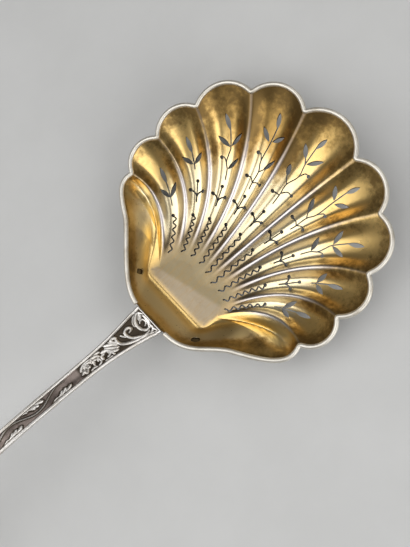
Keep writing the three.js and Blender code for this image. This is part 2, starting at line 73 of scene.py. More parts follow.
def spline(points, count):  # cubic pieces through points, each sloping there as its neighbours' chord
    p = np.asarray(points, float)
    p = np.concatenate([p[:1], p, p[-1:]])
    u = np.linspace(0, len(p) - 3, count)
    i = np.minimum(u.astype(int), len(p) - 4)
    w = (u - i)[:, None]
    a, b, c, d = (p[i + j] for j in range(4))
    out, back = (c - a) / 2, (d - b) / 2
    return (2 * b - 2 * c + out + back) * w**3 + (3 * c - 3 * b - 2 * out - back) * w**2 + out * w + b


def lengthAlong(line):  # distance from the start of a line to each of its points
    steps = np.linalg.norm(np.diff(line, axis=0), axis=1)
    return np.concatenate([[0], np.cumsum(steps)])


def pointsAlong(line, run, places):  # points of a line in plan at places along its run
    return np.stack([np.interp(places, run, line[:, i]) for i in (0, 1)], -1)


def fullTurn(count):  # angles once round a circle
    return np.linspace(0, 2 * np.pi, count + 1)[:-1]


def closedTube(rings):  # rings of points joined by quads, and a fan of triangles over each end
    count, size = rings.shape[:2]
    xyz = np.concatenate([rings.reshape(-1, 3), rings[[0, -1]].mean(1)])
    i, j = np.meshgrid(np.arange(count - 1), np.arange(size), indexing="ij")
    a, b = i * size + j, i * size + (j + 1) % size
    quads = np.stack([a, a + size, b + size, b], -1).reshape(-1, 4)
    here = np.arange(size)
    after = (here + 1) % size
    last = (count - 1) * size
    nearEnd = np.stack([0 * here + count * size, here, after], -1)
    farEnd = np.stack([0 * here + count * size + 1, last + after, last + here], -1)
    return xyz, quads.tolist() + nearEnd.tolist() + farEnd.tolist()


# Bowl: a fluted, pierced shell of one sheet

bowl = {
    "sheet": 0.8,
    "centre": 37,  # rear rim to the middle of the rim circle
    "rimRadius": 36,
    "rimHeight": 13.3,
    "rimRise": 0.122,  # climb of the rim for each millimetre towards the tip
    "lobeRise": 0.3,  # depth of a lobe's arc as a share of its chord
    "lobeReach": 3,  # power by which a lobe swells on its way up
    "ribSteepness": 1.6,
    "fluteSteepness": 2.9,
    "ribSharpness": (1.3, 2.6),  # at the flat and at the rim
    "rearRimHalf": 5.1,
    "creaseDistance": 6.3,
    "creaseRound": 2.4,  # how far the flat's own edge stays from the crease
    "wallFillet": 0.15,  # half of the rounded fold at the foot of the walls, as a share of the way up
    "wallTop": 0.98,  # where the foot of a wing's wall ends, beside its rib
    "wingPull": ((0.57, 0.72), (0.35, 0.77), 0.6),  # control points of a wing's outline, in shares
    "sheetSpread": 1.8,  # most that a steep wall's sheet measures straight down, in sheets
    "fold": (13.4, -0.25, 0.05, 0.8),  # faint fold across the flat: x, lean, slope in front of it, softness
    "dents": (  # two punched hollows: x, y, turn, half sizes along and into the wall, squareness, depth
        (6.22, 13.67, 43, 0.85, 0.42, 4, 1.3),
        (4.66, -12.4, 130, 1.35, 0.7, 2.2, 0.7),
    ),
    "dentSide": (1.05, 0.72),  # a hollow's lip and the edge of its floor, in half sizes
    "dentRings": (0.1, 1.3, 13, 32),  # points over a hollow: first and last ring, rings, points on each
    "dentRoom": 1.4,  # the grid stays this far out of a hollow
    "dentStart": (0.23, 0.6),  # a place on the wings near the hollows
    "cutRoom": 0.13,  # the grid stays this far from the cuts
    "flatGrid": (6, 20, 14, 0.7),  # points on the flat: first and last x, half width, step
    "flatRoom": 0.4,  # they stay this far from its edge
    "rows": 80,
    "acrossFlute": 24,
    "acrossWing": 70,
    "acrossWall": 20,
    "edgeSteps": 400,
    "sharpAngle": 45,  # edges from here on are shaded sharp, in degrees
}
wings = {  # the left and right wings are not quite alike: the bowl was raised by hand
    1: {
        "crease": 13.4,  # half the length of the rear crease
        "ribFoot": (11.4, 11.8, 35.3),  # x, y and heading
        "ribShare": 0.16,  # the rib's flank, as a share of the wing
        "shoulder": (14.3, 25.5),  # where the outline turns forwards
        "bulge": 1.8,
        "sweep": 0.25,
        "wallFoot": 0.42,  # share of the way up at which the plain wall begins
        "wallStart": 0.3,  # it has moved there by this share of the wing
        "wallRise": (0.86, 1),  # and climbs to the rim over these
    },
    -1: {
        "crease": 10.6,
        "ribFoot": (13.5, 11.2, 30.8),
        "ribShare": 0.22,
        "shoulder": (10.0, 22.3),
        "bulge": 2.9,
        "sweep": 0.43,
        "wallFoot": 0.15,
        "wallStart": 0.6,
        "wallRise": (0.75, 0.98),
    },
}
wearAndShade = {  # spans across a flute, or up it, over which the gilding's marks and the painted shade beside the ribs come and go
    "ribBand": (0.4, 0.76, 0.3),  # half of a rib's rubbed band at the flat, half way up and at the rim
    "ribBandUp": (0, 0.4, 0.5, 0.9),
    "ribShadeAcross": (0.6, 0.84, 0.88, 0.97),  # painted shade beside each rib
    "ribShadeUp": (0.02, 0.12, 0.5, 0.72),
    "lobeSides": (0.3, 0.08),  # stain round the edge of each lobe
    "lobeSidesUp": (0.5, 0.78),
    "lobeEdge": (0.84, 0.99),
    "wallEdge": (0.9, 1),
    "browning": (-0.4, -0.4, 0.9, 1.6, 0.5, -0.4, -0.1, 0.3, 0.4),  # how far each flute has browned
    "wallBrowning": (0.2, 1.7),  # the same for the rear wall and the wings
    "browningUp": 0.9,  # how far up a flute its direction from the middle of the bowl is taken
    "wallTurns": (180, 150),  # directions of the rear wall and the wings, in degrees
    "flatRear": (-2.0, 0.2),  # millimetres past the flat's rear edge
    "flatSides": (0.8, 1.12),  # shares of the way to the ends of the crease
    "foldSpread": 1.5,  # the flat changes colour this far to either side of its fold
}
ribTable = np.array([  # foot x and y, heading, notch angle, notch inset: from the tip round to the wing
    [16.7, 1.3, 4, 16.3, 2.2],
    [18.5, 4.8, 8.5, 42.4, 0],
    [17.9, 7.7, 16.3, 67.9, 0.2],
    [15.9, 10.2, 23, 90.3, 0.6],
    [0, 0, 0, 110.2, 0],  # the wing's own rib, whose foot and heading are in wings
])
frameShift = (bowl["creaseDistance"] + ribTable[0, 0]) / 2
flatStart = bowl["creaseDistance"] + bowl["creaseRound"]


def ribCurves(side):  # quadratic curves in plan: the end tangents cross at the middle control point
    table = ribTable.copy()
    table[-1, :3] = wings[side]["ribFoot"]
    foot = table[:, :2]
    turn = np.radians(table[:, 2:4])
    start = np.stack([np.cos(turn[:, 0]), np.sin(turn[:, 0])], -1)
    finish = np.stack([np.cos(turn[:, 1]), np.sin(turn[:, 1])], -1)
    notch = finish * (bowl["rimRadius"] - table[:, 4:]) + [bowl["centre"], 0]
    reach = cross2(notch - foot, finish) / cross2(start, finish)
    return np.stack([foot, foot + start * reach[:, None], notch], 1)


ribLines = np.concatenate([ribCurves(1)[::-1], ribCurves(-1) * [1, -1]])
fluteCount = len(ribLines) - 1
wingNotch = ribLines[0, 2]


def wingEdge(side):  # the wing's outline, two cubic curves sampled by length
    wing = wings[side]
    sx, sy = wing["shoulder"]
    nx, ny = wingNotch
    half = bowl["rearRimHalf"]
    (inX, inY), (outX, outY), last = bowl["wingPull"]
    first = [(0, half), (0, half + wing["sweep"] * sy), (inX * sx, inY * sy), (sx, sy)]
    beside = (lerp(sx, nx, outX), lerp(sy, ny, outY))
    second = [(sx, sy), beside, (lerp(sx, nx, last), ny + wing["bulge"]), (nx, ny)]
    t = np.linspace(0, 1, bowl["edgeSteps"])
    line = np.concatenate([bezier(np.array(first), t), bezier(np.array(second), t)[1:]])
    run = lengthAlong(line)
    return line, run / run[-1]


wingEdges = {side: wingEdge(side) for side in wings}


def rimEdge(x):  # the rim's height: level as far as the wings' notches, then a straight climb
    return bowl["rimHeight"] + bowl["rimRise"] * (np.maximum(x, wingNotch[0]) - bowl["centre"])


def softFold(x, softness):  # 0 before a fold and x after it, rounded: a softplus
    return softness * np.logaddexp(0, x / softness)


def raised(plan, climb):  # the sheet and the flat's faint fold, plus a share of the way to the rim
    x, y = plan[..., 0], plan[..., 1]
    place, lean, slope, softness = bowl["fold"]
    flat = bowl["sheet"] + slope * softFold(x - place - lean * y, softness)
    z = flat + (rimEdge(x) - flat) * climb
    return np.concatenate([plan, z[..., None]], -1)


def hinge(t, foot):  # flat up to foot, then straight up to 1, joined by a parabola
    reach = bowl["wallFillet"]
    fold = lambda x: np.where(x < reach, np.maximum(0, x + reach) ** 2 / (4 * reach), x)
    return fold(t - foot) / fold(1 - foot)


def sharpness(t):  # power that narrows a rib on its way up
    return lerp(*bowl["ribSharpness"], t)


def ridgeShare(q, t):  # 1 on a rib's crest, 0 in the middle of a flute
    return ((1 + np.cos(2 * np.pi * q)) / 2) ** sharpness(t)


def ribNearness(gap, t):  # 1 on a rib's crest, 0.5 at the edge of its rubbed band
    foot, middle, rim = wearAndShade["ribBand"]
    start, full, ebb, end = wearAndShade["ribBandUp"]
    band = lerp(foot, middle, smooth(start, full, t)) + (rim - middle) * smooth(ebb, end, t)
    return np.clip(1 - 0.5 * gap / band, 0, 1)


def fluteFace(k, q, t):  # blend of two ribs, swelling outwards as an arc, climbing late between ribs
    near, far = ribLines[k], ribLines[k + 1]
    chord = far[2] - near[2]
    width = np.linalg.norm(chord)
    depth = bowl["lobeRise"] * width
    radius = (width**2 / 4 + depth**2) / (2 * depth)
    swell = np.sqrt(radius**2 - (width * (q - 0.5)) ** 2) - radius + depth
    outward = np.array([-chord[1], chord[0]]) / width
    plan = lerp(bezier(near, t), bezier(far, t), q[..., None])
    plan = plan + outward * (swell * t ** bowl["lobeReach"])[..., None]
    climb = lerp(t ** bowl["fluteSteepness"], t ** bowl["ribSteepness"], ridgeShare(q, t))
    return raised(plan, climb)


def fluteShadeAndStain(q, t):  # painted shade on the left of each rib, stain round the lobe, and 0 for no plain wall
    ribShade = plateau(*wearAndShade["ribShadeAcross"], q) * plateau(*wearAndShade["ribShadeUp"], t)
    side = smooth(*wearAndShade["lobeSides"], np.minimum(q, 1 - q)) * smooth(*wearAndShade["lobeSidesUp"], t)
    return ribShade, np.maximum(side, smooth(*wearAndShade["lobeEdge"], t)), 0 * q


def fluteRib(k, q, t):  # nearness to the closer of a flute's two ribs
    width = np.linalg.norm(bezier(ribLines[k + 1], t) - bezier(ribLines[k], t), axis=-1)
    return ribNearness(width * np.minimum(q, 1 - q), t)


def dentReach(dent, plan):  # 0 in the middle of a hollow and 1 at its edge, a rounded rectangle
    x, y, turn, along, into, power = dent[:-1]
    c, s = np.cos(np.radians(turn)), np.sin(np.radians(turn))
    east, north = plan[..., 0] - x, plan[..., 1] - y
    first = np.abs((c * east + s * north) / along)
    second = np.abs((c * north - s * east) / into)
    return (first**power + second**power) ** (1 / power)


def dentShares(plan):  # for each hollow, 1 on its floor and 0 outside it
    return [smooth(*bowl["dentSide"], dentReach(dent, plan)) for dent in bowl["dents"]]


def dented(face):  # a surface with the hollows let into it
    shares = dentShares(face[..., :2])
    face[..., 2] -= np.max([dent[-1] * share for dent, share in zip(bowl["dents"], shares)], 0)
    return face


def dentSpots(dent):  # rings of points over a hollow and its edge
    x, y, turn, along, into, power = dent[:-1]
    inner, outer, rings, sides = bowl["dentRings"]
    ring, angle = np.meshgrid(np.linspace(inner, outer, rings), fullTurn(sides), indexing="ij")
    first, second = np.cos(angle), np.sin(angle)
    ring = ring / (np.abs(first) ** power + np.abs(second) ** power) ** (1 / power)
    first, second = along * ring * first, into * ring * second
    c, s = np.cos(np.radians(turn)), np.sin(np.radians(turn))
    return np.stack([x + c * first - s * second, y + s * first + c * second], -1).reshape(-1, 2)


wallRound = bowl["creaseRound"] / flatStart  # where on the rear wall its crease is


def wingRib(side):  # the rib beside a wing, as on the left
    return ribLines[0] if side > 0 else ribLines[-1] * [1, -1]


def wingFace(side, q, t):  # lines from the flat's edge to the outline, bent like the first rib beside it
    wing, rib = wings[side], wingRib(side)
    foot = lerp(np.array([flatStart, wing["crease"]]), rib[0], q[..., None])
    line, run = wingEdges[side]
    edge = pointsAlong(line, run, q)
    bend = bezier(rib, t) - lerp(rib[0], wingNotch, t[..., None])
    plan = lerp(foot, edge, t[..., None]) + bend * (q * q)[..., None]
    # the wall's foot leaves the crease, and climbs to the rim beside the rib
    wallFoot = lerp(wallRound, wing["wallFoot"], smooth(0, wing["wallStart"], q))
    wallFoot = lerp(wallFoot, bowl["wallTop"], smooth(*wing["wallRise"], q))
    flank = np.minimum(1, (1 - q) / wing["ribShare"])
    ridge = ((1 + np.cos(np.pi * flank)) / 2) ** sharpness(t)
    climb = lerp(hinge(t, wallFoot), t ** bowl["ribSteepness"], ridge)
    return dented(raised(plan * [1, side], climb))


def wingRibShare(side, q, t):  # nearness to the rib beside a wing
    gap = np.linalg.norm(wingFace(side, q, t)[..., :2] - bezier(wingRib(side) * [1, side], t), axis=-1)
    return ribNearness(gap, t)


def rearFace(q, t):  # the leaning rear wall between its crease and the straight rim
    across = lerp(-wings[-1]["crease"], wings[1]["crease"], q)
    foot = np.stack([np.full_like(q, flatStart), across], -1)
    edge = np.stack([np.zeros_like(q), lerp(-bowl["rearRimHalf"], bowl["rearRimHalf"], q)], -1)
    return dented(raised(lerp(foot, edge, t[..., None]), hinge(t, wallRound)))


def faceNormals(face, q, t):  # cross product of the steps across and up, turned to face upwards
    step = 1e-3
    across = face(np.clip(q + step, 0, 1), t) - face(np.clip(q - step, 0, 1), t)
    up = face(q, np.clip(t + step, 0, 1)) - face(q, np.clip(t - step, 0, 1))
    normal = unit(np.cross(across, up))
    return normal * np.sign(normal[..., 2:])


def plainMarks(rib, t):  # no painted rib shade, stain along the rim, and 1 for a plain wall
    return np.stack([rib, 0 * t, smooth(*wearAndShade["wallEdge"], t), 0 * t + 1], -1)


def flutePart(k):  # a flute's surface, and its rib, painted rib shade, stain and wall marks
    face = lambda q, t: fluteFace(k, q, t)
    return face, lambda q, t: np.stack([fluteRib(k, q, t), *fluteShadeAndStain(q, t)], -1)


def wingPart(side):  # the same for a wing, the right one run backwards to go on round the bowl
    run = lambda q: q if side > 0 else 1 - q
    face = lambda q, t: wingFace(side, run(q), t)
    return face, lambda q, t: plainMarks(wingRibShare(side, run(q), t), t)


def bowlGrid():  # columns once round the bowl, each from the flat up to the rim
    rows = np.linspace(0, 1, bowl["rows"])
    parts = [(*wingPart(1), bowl["acrossWing"])]
    parts += [(*flutePart(k), bowl["acrossFlute"]) for k in range(fluteCount)]
    parts.append((*wingPart(-1), bowl["acrossWing"]))
    parts.append((rearFace, lambda q, t: plainMarks(0 * q, t), bowl["acrossWall"]))
    points, normals, marks = [], [], []
    for face, mark, steps in parts:
        q, t = np.meshgrid(np.linspace(0, 1, steps + 1), rows, indexing="ij")
        points.append(face(q, t))
        normals.append(faceNormals(face, q, t))
        marks.append(mark(q, t))
    for i in range(len(parts)):  # a column that two parts share takes the mean of their normals
        normals[i][0] = unit(normals[i - 1][-1] + normals[i][0])
    points, normals, marks = (np.concatenate([a[:-1] for a in kind]) for kind in (points, normals, marks))
    climbs = np.tile(rows, (len(points), 1))
    plain = np.r_[: bowl["acrossWing"], bowl["acrossWing"] + fluteCount * bowl["acrossFlute"] : len(points)]
    climbs[plain] = wallClimb(points[plain])
    return points, normals, marks, climbs


def wallClimb(points):  # share of the way from the flat to the rim
    height = (points[..., 2] - bowl["sheet"]) / (rimEdge(points[..., 0]) - bowl["sheet"])
    return np.clip(height, 0, 1)


# Piercing: saw cuts, drilled dots and leaves, laid out along each flute as (t, millimetres across)

piercing = {
    "slit": 0.46,
    "thinSlit": 0.36,
    "dot": 0.52,
    "waveHeight": 0.44,
    "waveLag": 0.014,  # the waves start later on the left and sooner on the right
    "leaf": 1.3,
    "leafPoint": 0.8,  # power of the sine that a leaf's outline follows
    "prong": (5.8, 1.75, 3.0, 1.5),  # middle prong's length, side prongs' spread, reach and fork
    "armBend": (0.97, 0.3),  # where a side prong turns outwards, as shares of its reach and spread
    "tendrilBow": (0.8, 0.45, 0.006),  # bend of a tendril: shares along and across, and a little further on
    "lowDrift": (0.1, -0.2, -0.4, -0.4, -0.8, -0.5, -0.2, 0, 0.3),  # waves and prongs off each middle line
    "sprayDrift": (0, -0.2, 0, -0.1, -0.8, -0.1, 0, -0.3, 0),
    "driftGain": 3,  # the drift is whole a third of the way up
    "endSteps": 6,
    "dotSides": 16,
    "dotTurn": 0.13,
    "leafSteps": 13,
    "waveSteps": 12,
    "prongSteps": 9,
    "stemSteps": 31,
    "stalkSteps": 7,
    "tendrilSteps": 11,
}
edgeFlute = {
    "wave": (0.05, 0.365, 5),
    "stem": ((0.457, -0.3), (0.527, -0.2), (0.6, 0), (0.66, 0.3)),
    "leaves": (((0.53, -0.3), (0.63, -2.1)), ((0.53, -0.1), (0.63, 3)), ((0.655, 0.3), (0.795, 1.2))),
}
sideFlute = {
    "wave": (0.03, 0.3, 6),
    "prong": 0.398,
    "stem": ((0.63, 0.2), (0.662, 0.35), (0.7, 0.5), (0.74, 0.7)),
    "leaves": (((0.662, 0.1), (0.727, -2.4)), ((0.662, 0.5), (0.717, 3.5)), ((0.735, 0.7), (0.843, 0.85))),
}
flankFlute = {
    "wave": (0.02, 0.269, 6),
    "prong": 0.353,
    "stem": ((0.517, 0.3), (0.577, 0.35), (0.615, -0.1), (0.66, 0.45), (0.7, 1), (0.79, 1.05)),
    "leaves": (
        ((0.577, 0.5), (0.636, 3.65)),
        ((0.7, 0.9), (0.758, -2.65)),
        ((0.705, 1.2), (0.762, 4.5)),
        ((0.785, 1.05), (0.872, 0)),
    ),
    "tendrils": (((0.615, -0.1), (0.64, -1.55)),),
}
frontFlute = {
    "wave": (0.03, 0.277, 6),
    "prong": 0.346,
    "stem": ((0.498, -0.1), (0.532, -0.1), (0.595, 0.25), (0.65, -0.35), (0.745, 0.45), (0.825, 1.1)),
    "leaves": (
        ((0.612, 1.2), (0.673, 3.85), (0.595, 0.25)),
        ((0.75, -0.1), (0.81, -2.8)),
        ((0.755, 0.8), (0.79, 4.1)),
        ((0.82, 1.1), (0.892, 0.65)),
    ),
    "tendrils": (((0.532, -0.1), (0.551, -2.2)), ((0.532, 0), (0.535, 2.4)), ((0.65, -0.35), (0.683, -1.9))),
}
tipFlute = {
    "wave": (0.045, 0.286, 6),
    "prong": 0.346,
    "stem": ((0.505, 0.3), (0.56, 0), (0.617, -0.5), (0.684, 0.7), (0.75, -0.2), (0.835, -0.6)),
    "leaves": (
        ((0.646, -1.9), (0.701, -3.2), (0.617, -0.5)),
        ((0.765, -1), (0.816, -3.7), (0.745, -0.15)),
        ((0.75, 0.1), (0.814, 3.6)),
        ((0.83, -0.6), (0.896, 0.3)),
    ),
    "tendrils": (((0.555, 0), (0.546, -2)), ((0.568, 0), (0.593, 2.9)), ((0.684, 0.7), (0.716, 2.8))),
}
halfMotifs = [edgeFlute, sideFlute, flankFlute, frontFlute]
motifs = [*halfMotifs, tipFlute, *halfMotifs[::-1]]


def onFlute(k, drift, mirrored, places):  # plan of points given along a flute's middle line and across it
    t, across = np.asarray(places, float).T
    half = np.full_like(t, 0.5)
    step = 0.01
    middle = fluteFace(k, half, t)[:, :2]
    along = unit(fluteFace(k, half, t + step)[:, :2] - fluteFace(k, half, t - step)[:, :2])
    side = np.stack([along[:, 1], -along[:, 0]], -1)
    reach = drift[k] * np.minimum(1, piercing["driftGain"] * t) + (-across if mirrored else across)
    return middle + side * reach[:, None]


def slitOutline(path, width):  # both sides of a path, joined by half circles at its ends
    along = unit(np.gradient(path, axis=0))
    side = np.stack([-along[:, 1], along[:, 0]], -1) * width / 2
    turn = np.linspace(0, np.pi, piercing["endSteps"])[1:-1, None]
    end = path[-1] - np.cos(turn) * side[-1] + np.sin(turn) * along[-1] * width / 2
    start = path[0] + np.cos(turn) * side[0] - np.sin(turn) * along[0] * width / 2
    return np.concatenate([path - side, end, (path + side)[::-1], start])


def dotOutline(centre):  # a drilled hole
    turn = fullTurn(piercing["dotSides"])[:, None] + piercing["dotTurn"]
    return centre + piercing["dot"] * np.concatenate([np.cos(turn), np.sin(turn)], 1)


def dottedCut(path, width):  # a slit that ends in a dot
    return [slitOutline(path, width), dotOutline(path[-1])]


def leafOutline(foot, tip):  # a pointed leaf: half its width times a power of the sine of the way along
    u = np.linspace(0, 1, piercing["leafSteps"])[:, None]
    along = tip - foot
    side = unit(np.array([-along[1], along[0]]))
    half = piercing["leaf"] / 2 * np.sin(np.pi * u) ** piercing["leafPoint"]
    line = foot + along * u
    return np.concatenate([line - side * half, (line + side * half)[-2:0:-1]])


def waveCuts(k, start, end, count):  # a cosine wave along the flute's middle, ending in a dot
    lag = piercing["waveLag"] * np.sign(fluteCount // 2 - k)
    turns = np.linspace(0, 2 * np.pi * count, piercing["waveSteps"] * count + 1)
    swing = -piercing["waveHeight"] * np.cos(turns)
    places = np.stack([np.linspace(start + lag, end, len(turns)), swing], -1)
    return dottedCut(onFlute(k, piercing["lowDrift"], False, places), piercing["slit"])


def prongCuts(k, start):  # a stem with a dot, and two arms that fork from it and end in dots
    step = 0.01
    foot, ahead = onFlute(k, piercing["lowDrift"], False, ((start, 0), (start + step, 0)))
    along = unit(ahead - foot)
    side = np.array([along[1], -along[0]])
    length, spread, reach, fork = piercing["prong"]
    bendAlong, bendAside = piercing["armBend"]
    u = np.linspace(0, 1, piercing["prongSteps"])
    middle = foot + along * (length * u)[:, None]
    low = foot + along * (fork * u)[:, None]
    stem, dot = dottedCut(middle, piercing["thinSlit"])
    cuts = [stem, slitOutline(low, piercing["slit"]), dot]
    arm = bezier(np.array([(fork, 0), (bendAlong * reach, bendAside * spread), (reach, spread)]), u)
    for sign in (-1, 1):
        cuts += dottedCut(foot + along * arm[:, :1] + side * sign * arm[:, 1:], piercing["slit"])
    return cuts


def fluteCuts(k, motif):  # a flute's wave and prongs, and its spray of leaves and tendrils
    mirrored = k > fluteCount // 2
    thin = piercing["thinSlit"]
    cuts = waveCuts(k, *motif["wave"])
    if "prong" in motif:
        cuts += prongCuts(k, motif["prong"])
    place = lambda places: onFlute(k, piercing["sprayDrift"], mirrored, places)
    cuts.append(slitOutline(spline(place(motif["stem"]), piercing["stemSteps"]), thin))
    for foot, tip, *stalk in motif["leaves"]:
        cuts.append(leafOutline(*place((foot, tip))))
        if stalk:
            cuts.append(slitOutline(spline(place((*stalk, foot)), piercing["stalkSteps"]), thin))
    far, aside, further = piercing["tendrilBow"]
    for (t0, a0), (t1, a1) in motif.get("tendrils", ()):
        bow = (lerp(t0, t1, far) + further, lerp(a0, a1, aside))
        cuts += dottedCut(spline(place(((t0, a0), bow, (t1, a1))), piercing["tendrilSteps"]), thin)
    return cuts


def inPlace(face, plan, start=(0.5, 0.5)):  # q and t whose points lie at plan, found by shrinking the miss
    q = np.full(len(plan), start[0])
    t = np.full(len(plan), start[1])
    step, rounds, lowest = 1e-4, 14, 0.001
    for _ in range(rounds):
        here = face(q, t)[:, :2]
        across = (face(q + step, t)[:, :2] - here) / step
        up = (face(q, t + step)[:, :2] - here) / step
        miss = plan - here
        area = cross2(across, up)
        q = np.clip(q + cross2(miss, up) / area, 0, 1)
        t = np.clip(t + cross2(across, miss) / area, lowest, 1)
    return q, t


def insideOutline(points, outline):  # even-odd rule: crossings of a ray along +X
    x, y = points.T
    count = np.zeros(len(points), int)
    for (ax, ay), (bx, by) in zip(outline, np.roll(outline, -1, 0)):
        spans = (ay > y) != (by > y)
        count += spans & (x < ax + (bx - ax) * (y - ay) / (by - ay if by != ay else 1))
    return count % 2 == 1


def runEdges(ring):  # edges between neighbours
    return np.stack([ring[:-1], ring[1:]], -1)


def loopEdges(ring):  # the same, and from the last point back to the first
    return np.stack([ring, np.roll(ring, -1)], -1)


def nearCuts(points, cuts, room):  # points closer to a cut's outline than room
    close = np.zeros(len(points), bool)
    for outline in cuts:
        low, high = outline.min(0) - room, outline.max(0) + room
        chosen = np.flatnonzero(((points > low) & (points < high)).all(1))
        if len(chosen):
            gap = np.linalg.norm(points[chosen, None] - outline[None], axis=2).min(1)
            close[chosen[gap < room]] = True
    return close


# A patch of the sheet is its points, normals, marks and climbs


def flatPatch(flatEdge):  # a square grid of points inside the flat's edge
    rear, front, half, step = bowl["flatGrid"]
    spots = np.meshgrid(np.arange(rear, front, step), np.arange(-half, half + step / 2, step))
    spots = np.stack(spots, -1).reshape(-1, 2)
    spots = spots[insideOutline(spots, flatEdge)]
    gap = np.linalg.norm(spots[:, None] - flatEdge[None], axis=2).min(1)
    points = raised(spots[gap > bowl["flatRoom"]], 0)
    return points, 0 * points + [0, 0, 1], np.zeros((len(points), 4)), np.zeros(len(points))


def dentPatch(side, dent):  # the wing's own surface over a hollow
    face = lambda q, t: wingFace(side, q, t)
    q, t = inPlace(face, dentSpots(dent), bowl["dentStart"])
    points = face(q, t)
    return points, faceNormals(face, q, t), np.zeros((len(points), 4)), wallClimb(points)


def flutePatch(k, plan):  # the flute's own surface at points in plan
    face, marks = flutePart(k)
    q, t = inPlace(face, plan)
    return np.concatenate([plan, face(q, t)[:, 2:]], 1), faceNormals(face, q, t), marks(q, t), t


def joined(*patches):  # patches end to end
    return [np.concatenate(kind) for kind in zip(*patches)]


def bowlMesh():  # the inner skin: all patches joined by triangles in plan, without those inside a cut
    grid = bowlGrid()
    columns, rowCount = grid[0].shape[:2]
    flatEdge, rimLine = grid[0][:, 0, :2], grid[0][:, -1, :2]
    cutsByFlute = [fluteCuts(k, motif) for k, motif in enumerate(motifs)]
    cuts = [outline for group in cutsByFlute for outline in group]
    # the grid's points that crowd a cut or a hollow are left out
    grid = [values.reshape(columns * rowCount, *values.shape[2:]) for values in grid]
    gridPlan = grid[0][:, :2]
    crowded = nearCuts(gridPlan, cuts, bowl["cutRoom"])
    for dent in bowl["dents"]:
        crowded |= dentReach(dent, gridPlan) < bowl["dentRoom"]
    keep = np.flatnonzero(~crowded)
    dents = [dentPatch(side, dent) for side, dent in zip(wings, bowl["dents"])]
    plain = joined([values[keep] for values in grid], flatPatch(flatEdge), *dents)
    cutPatches = [flutePatch(k, np.concatenate(group)) for k, group in enumerate(cutsByFlute)]
    patch = joined(plain, *cutPatches)
    # fixed edges: the rim, the crests of the ribs and every cut
    place = np.full(columns * rowCount, -1)
    place[keep] = np.arange(len(keep))
    place = place.reshape(columns, rowCount)
    rim = place[:, -1]
    crests = place[bowl["acrossWing"] :: bowl["acrossFlute"]][: fluteCount + 1]
    edges = [loopEdges(rim)] + [runEdges(crest) for crest in crests]
    firstCut = first = len(plain[0])
    for outline in cuts:
        edges.append(loopEdges(np.arange(first, first + len(outline))))
        first += len(outline)
    edges = np.concatenate(edges)
    edges = edges[(edges >= 0).all(1)]
    plan = patch[0][:, :2]
    cutPlan = plan[firstCut:]
    found = delaunay_2d_cdt(list(map(Vector, plan.tolist())), edges.tolist(), [], 0, 1e-5)
    plan = np.array([tuple(p) for p in found[0]])
    faces = np.array(found[2])
    source = np.array([ids[0] if ids else -1 for ids in found[3]])
    # where two cuts cross, the new corner is worked out on the flute of the nearest cut
    patch = [values[source] for values in patch]
    made = np.flatnonzero(source < 0)
    flute = np.repeat(np.arange(fluteCount), [len(cutPatch[0]) for cutPatch in cutPatches])
    gap = np.linalg.norm(plan[made, None] - cutPlan[None], axis=2)
    owner = flute[gap.argmin(1)]
    for k in np.unique(owner):
        some = made[owner == k]
        for values, new in zip(patch, flutePatch(k, plan[some])):
            values[some] = new
    # triangles inside the rim and outside every cut
    middle = plan[faces].mean(1)
    solid = insideOutline(middle, rimLine)
    for outline in cuts:
        near = np.flatnonzero(((middle > outline.min(0)) & (middle < outline.max(0))).all(1))
        solid[near[insideOutline(middle[near], outline)]] = False
    faces = faces[solid]
    a, b, c = (plan[faces[:, i]] for i in range(3))
    turned = cross2(b - a, c - a) < 0
    faces[turned] = faces[turned][:, ::-1]
    used, faces = np.unique(faces, return_inverse=True)
    onRim = np.isin(source, rim)
    return [values[used] for values in patch], onRim[used], faces.reshape(-1, 3)


def putMesh(name, xyz, faces, slotName, nodes):  # a mesh in the frame, in metres, riding on the spoon
    mesh = bpy.data.meshes.new(name)
    mesh.from_pydata(((xyz - [frameShift, 0, 0]) * millimetre).tolist(), [], faces)
    mesh.validate()
    mesh.shade_smooth()
    piece = bpy.data.objects.new(name, mesh)
    bpy.context.collection.objects.link(piece)
    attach(piece, "root")
    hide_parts(*nodes)
    print(name, "has", len(faces), "faces")
    return piece


def putAttribute(piece, name, values, domain="POINT"):
    layer = piece.data.attributes.new(name, "FLOAT", domain)
    layer.data.foreach_set("value", np.asarray(values, np.float32))


def browning(plan):  # each part's own value, blended by direction from the middle of the bowl
    half, high = np.array([0.5]), np.array([wearAndShade["browningUp"]])
    middles = np.concatenate([fluteFace(k, half, high)[:, :2] for k in range(fluteCount)])
    turn = lambda p: -np.degrees(np.arctan2(p[:, 1], p[:, 0] - bowl["centre"]))
    rear, wing = wearAndShade["wallBrowning"]
    rearTurn, wingTurn = wearAndShade["wallTurns"]
    places = [-rearTurn, -wingTurn, *turn(middles), wingTurn, rearTurn]
    return np.interp(turn(plan), places, [rear, wing, *wearAndShade["browning"], wing, rear])


def flatShare(plan):  # 1 in the middle of the flat, less at its rear edge and its corners
    x, y = plan.T
    crease = np.where(y > 0, wings[1]["crease"], wings[-1]["crease"])
    return smooth(*wearAndShade["flatRear"], x - flatStart) * (1 - smooth(*wearAndShade["flatSides"], np.abs(y) / crease))


def flatFront(plan):  # 0 behind the flat's fold, 1 in front of it
    place, lean = bowl["fold"][:2]
    spread = wearAndShade["foldSpread"]
    return smooth(-spread, spread, plan[:, 0] - place - lean * plan[:, 1])


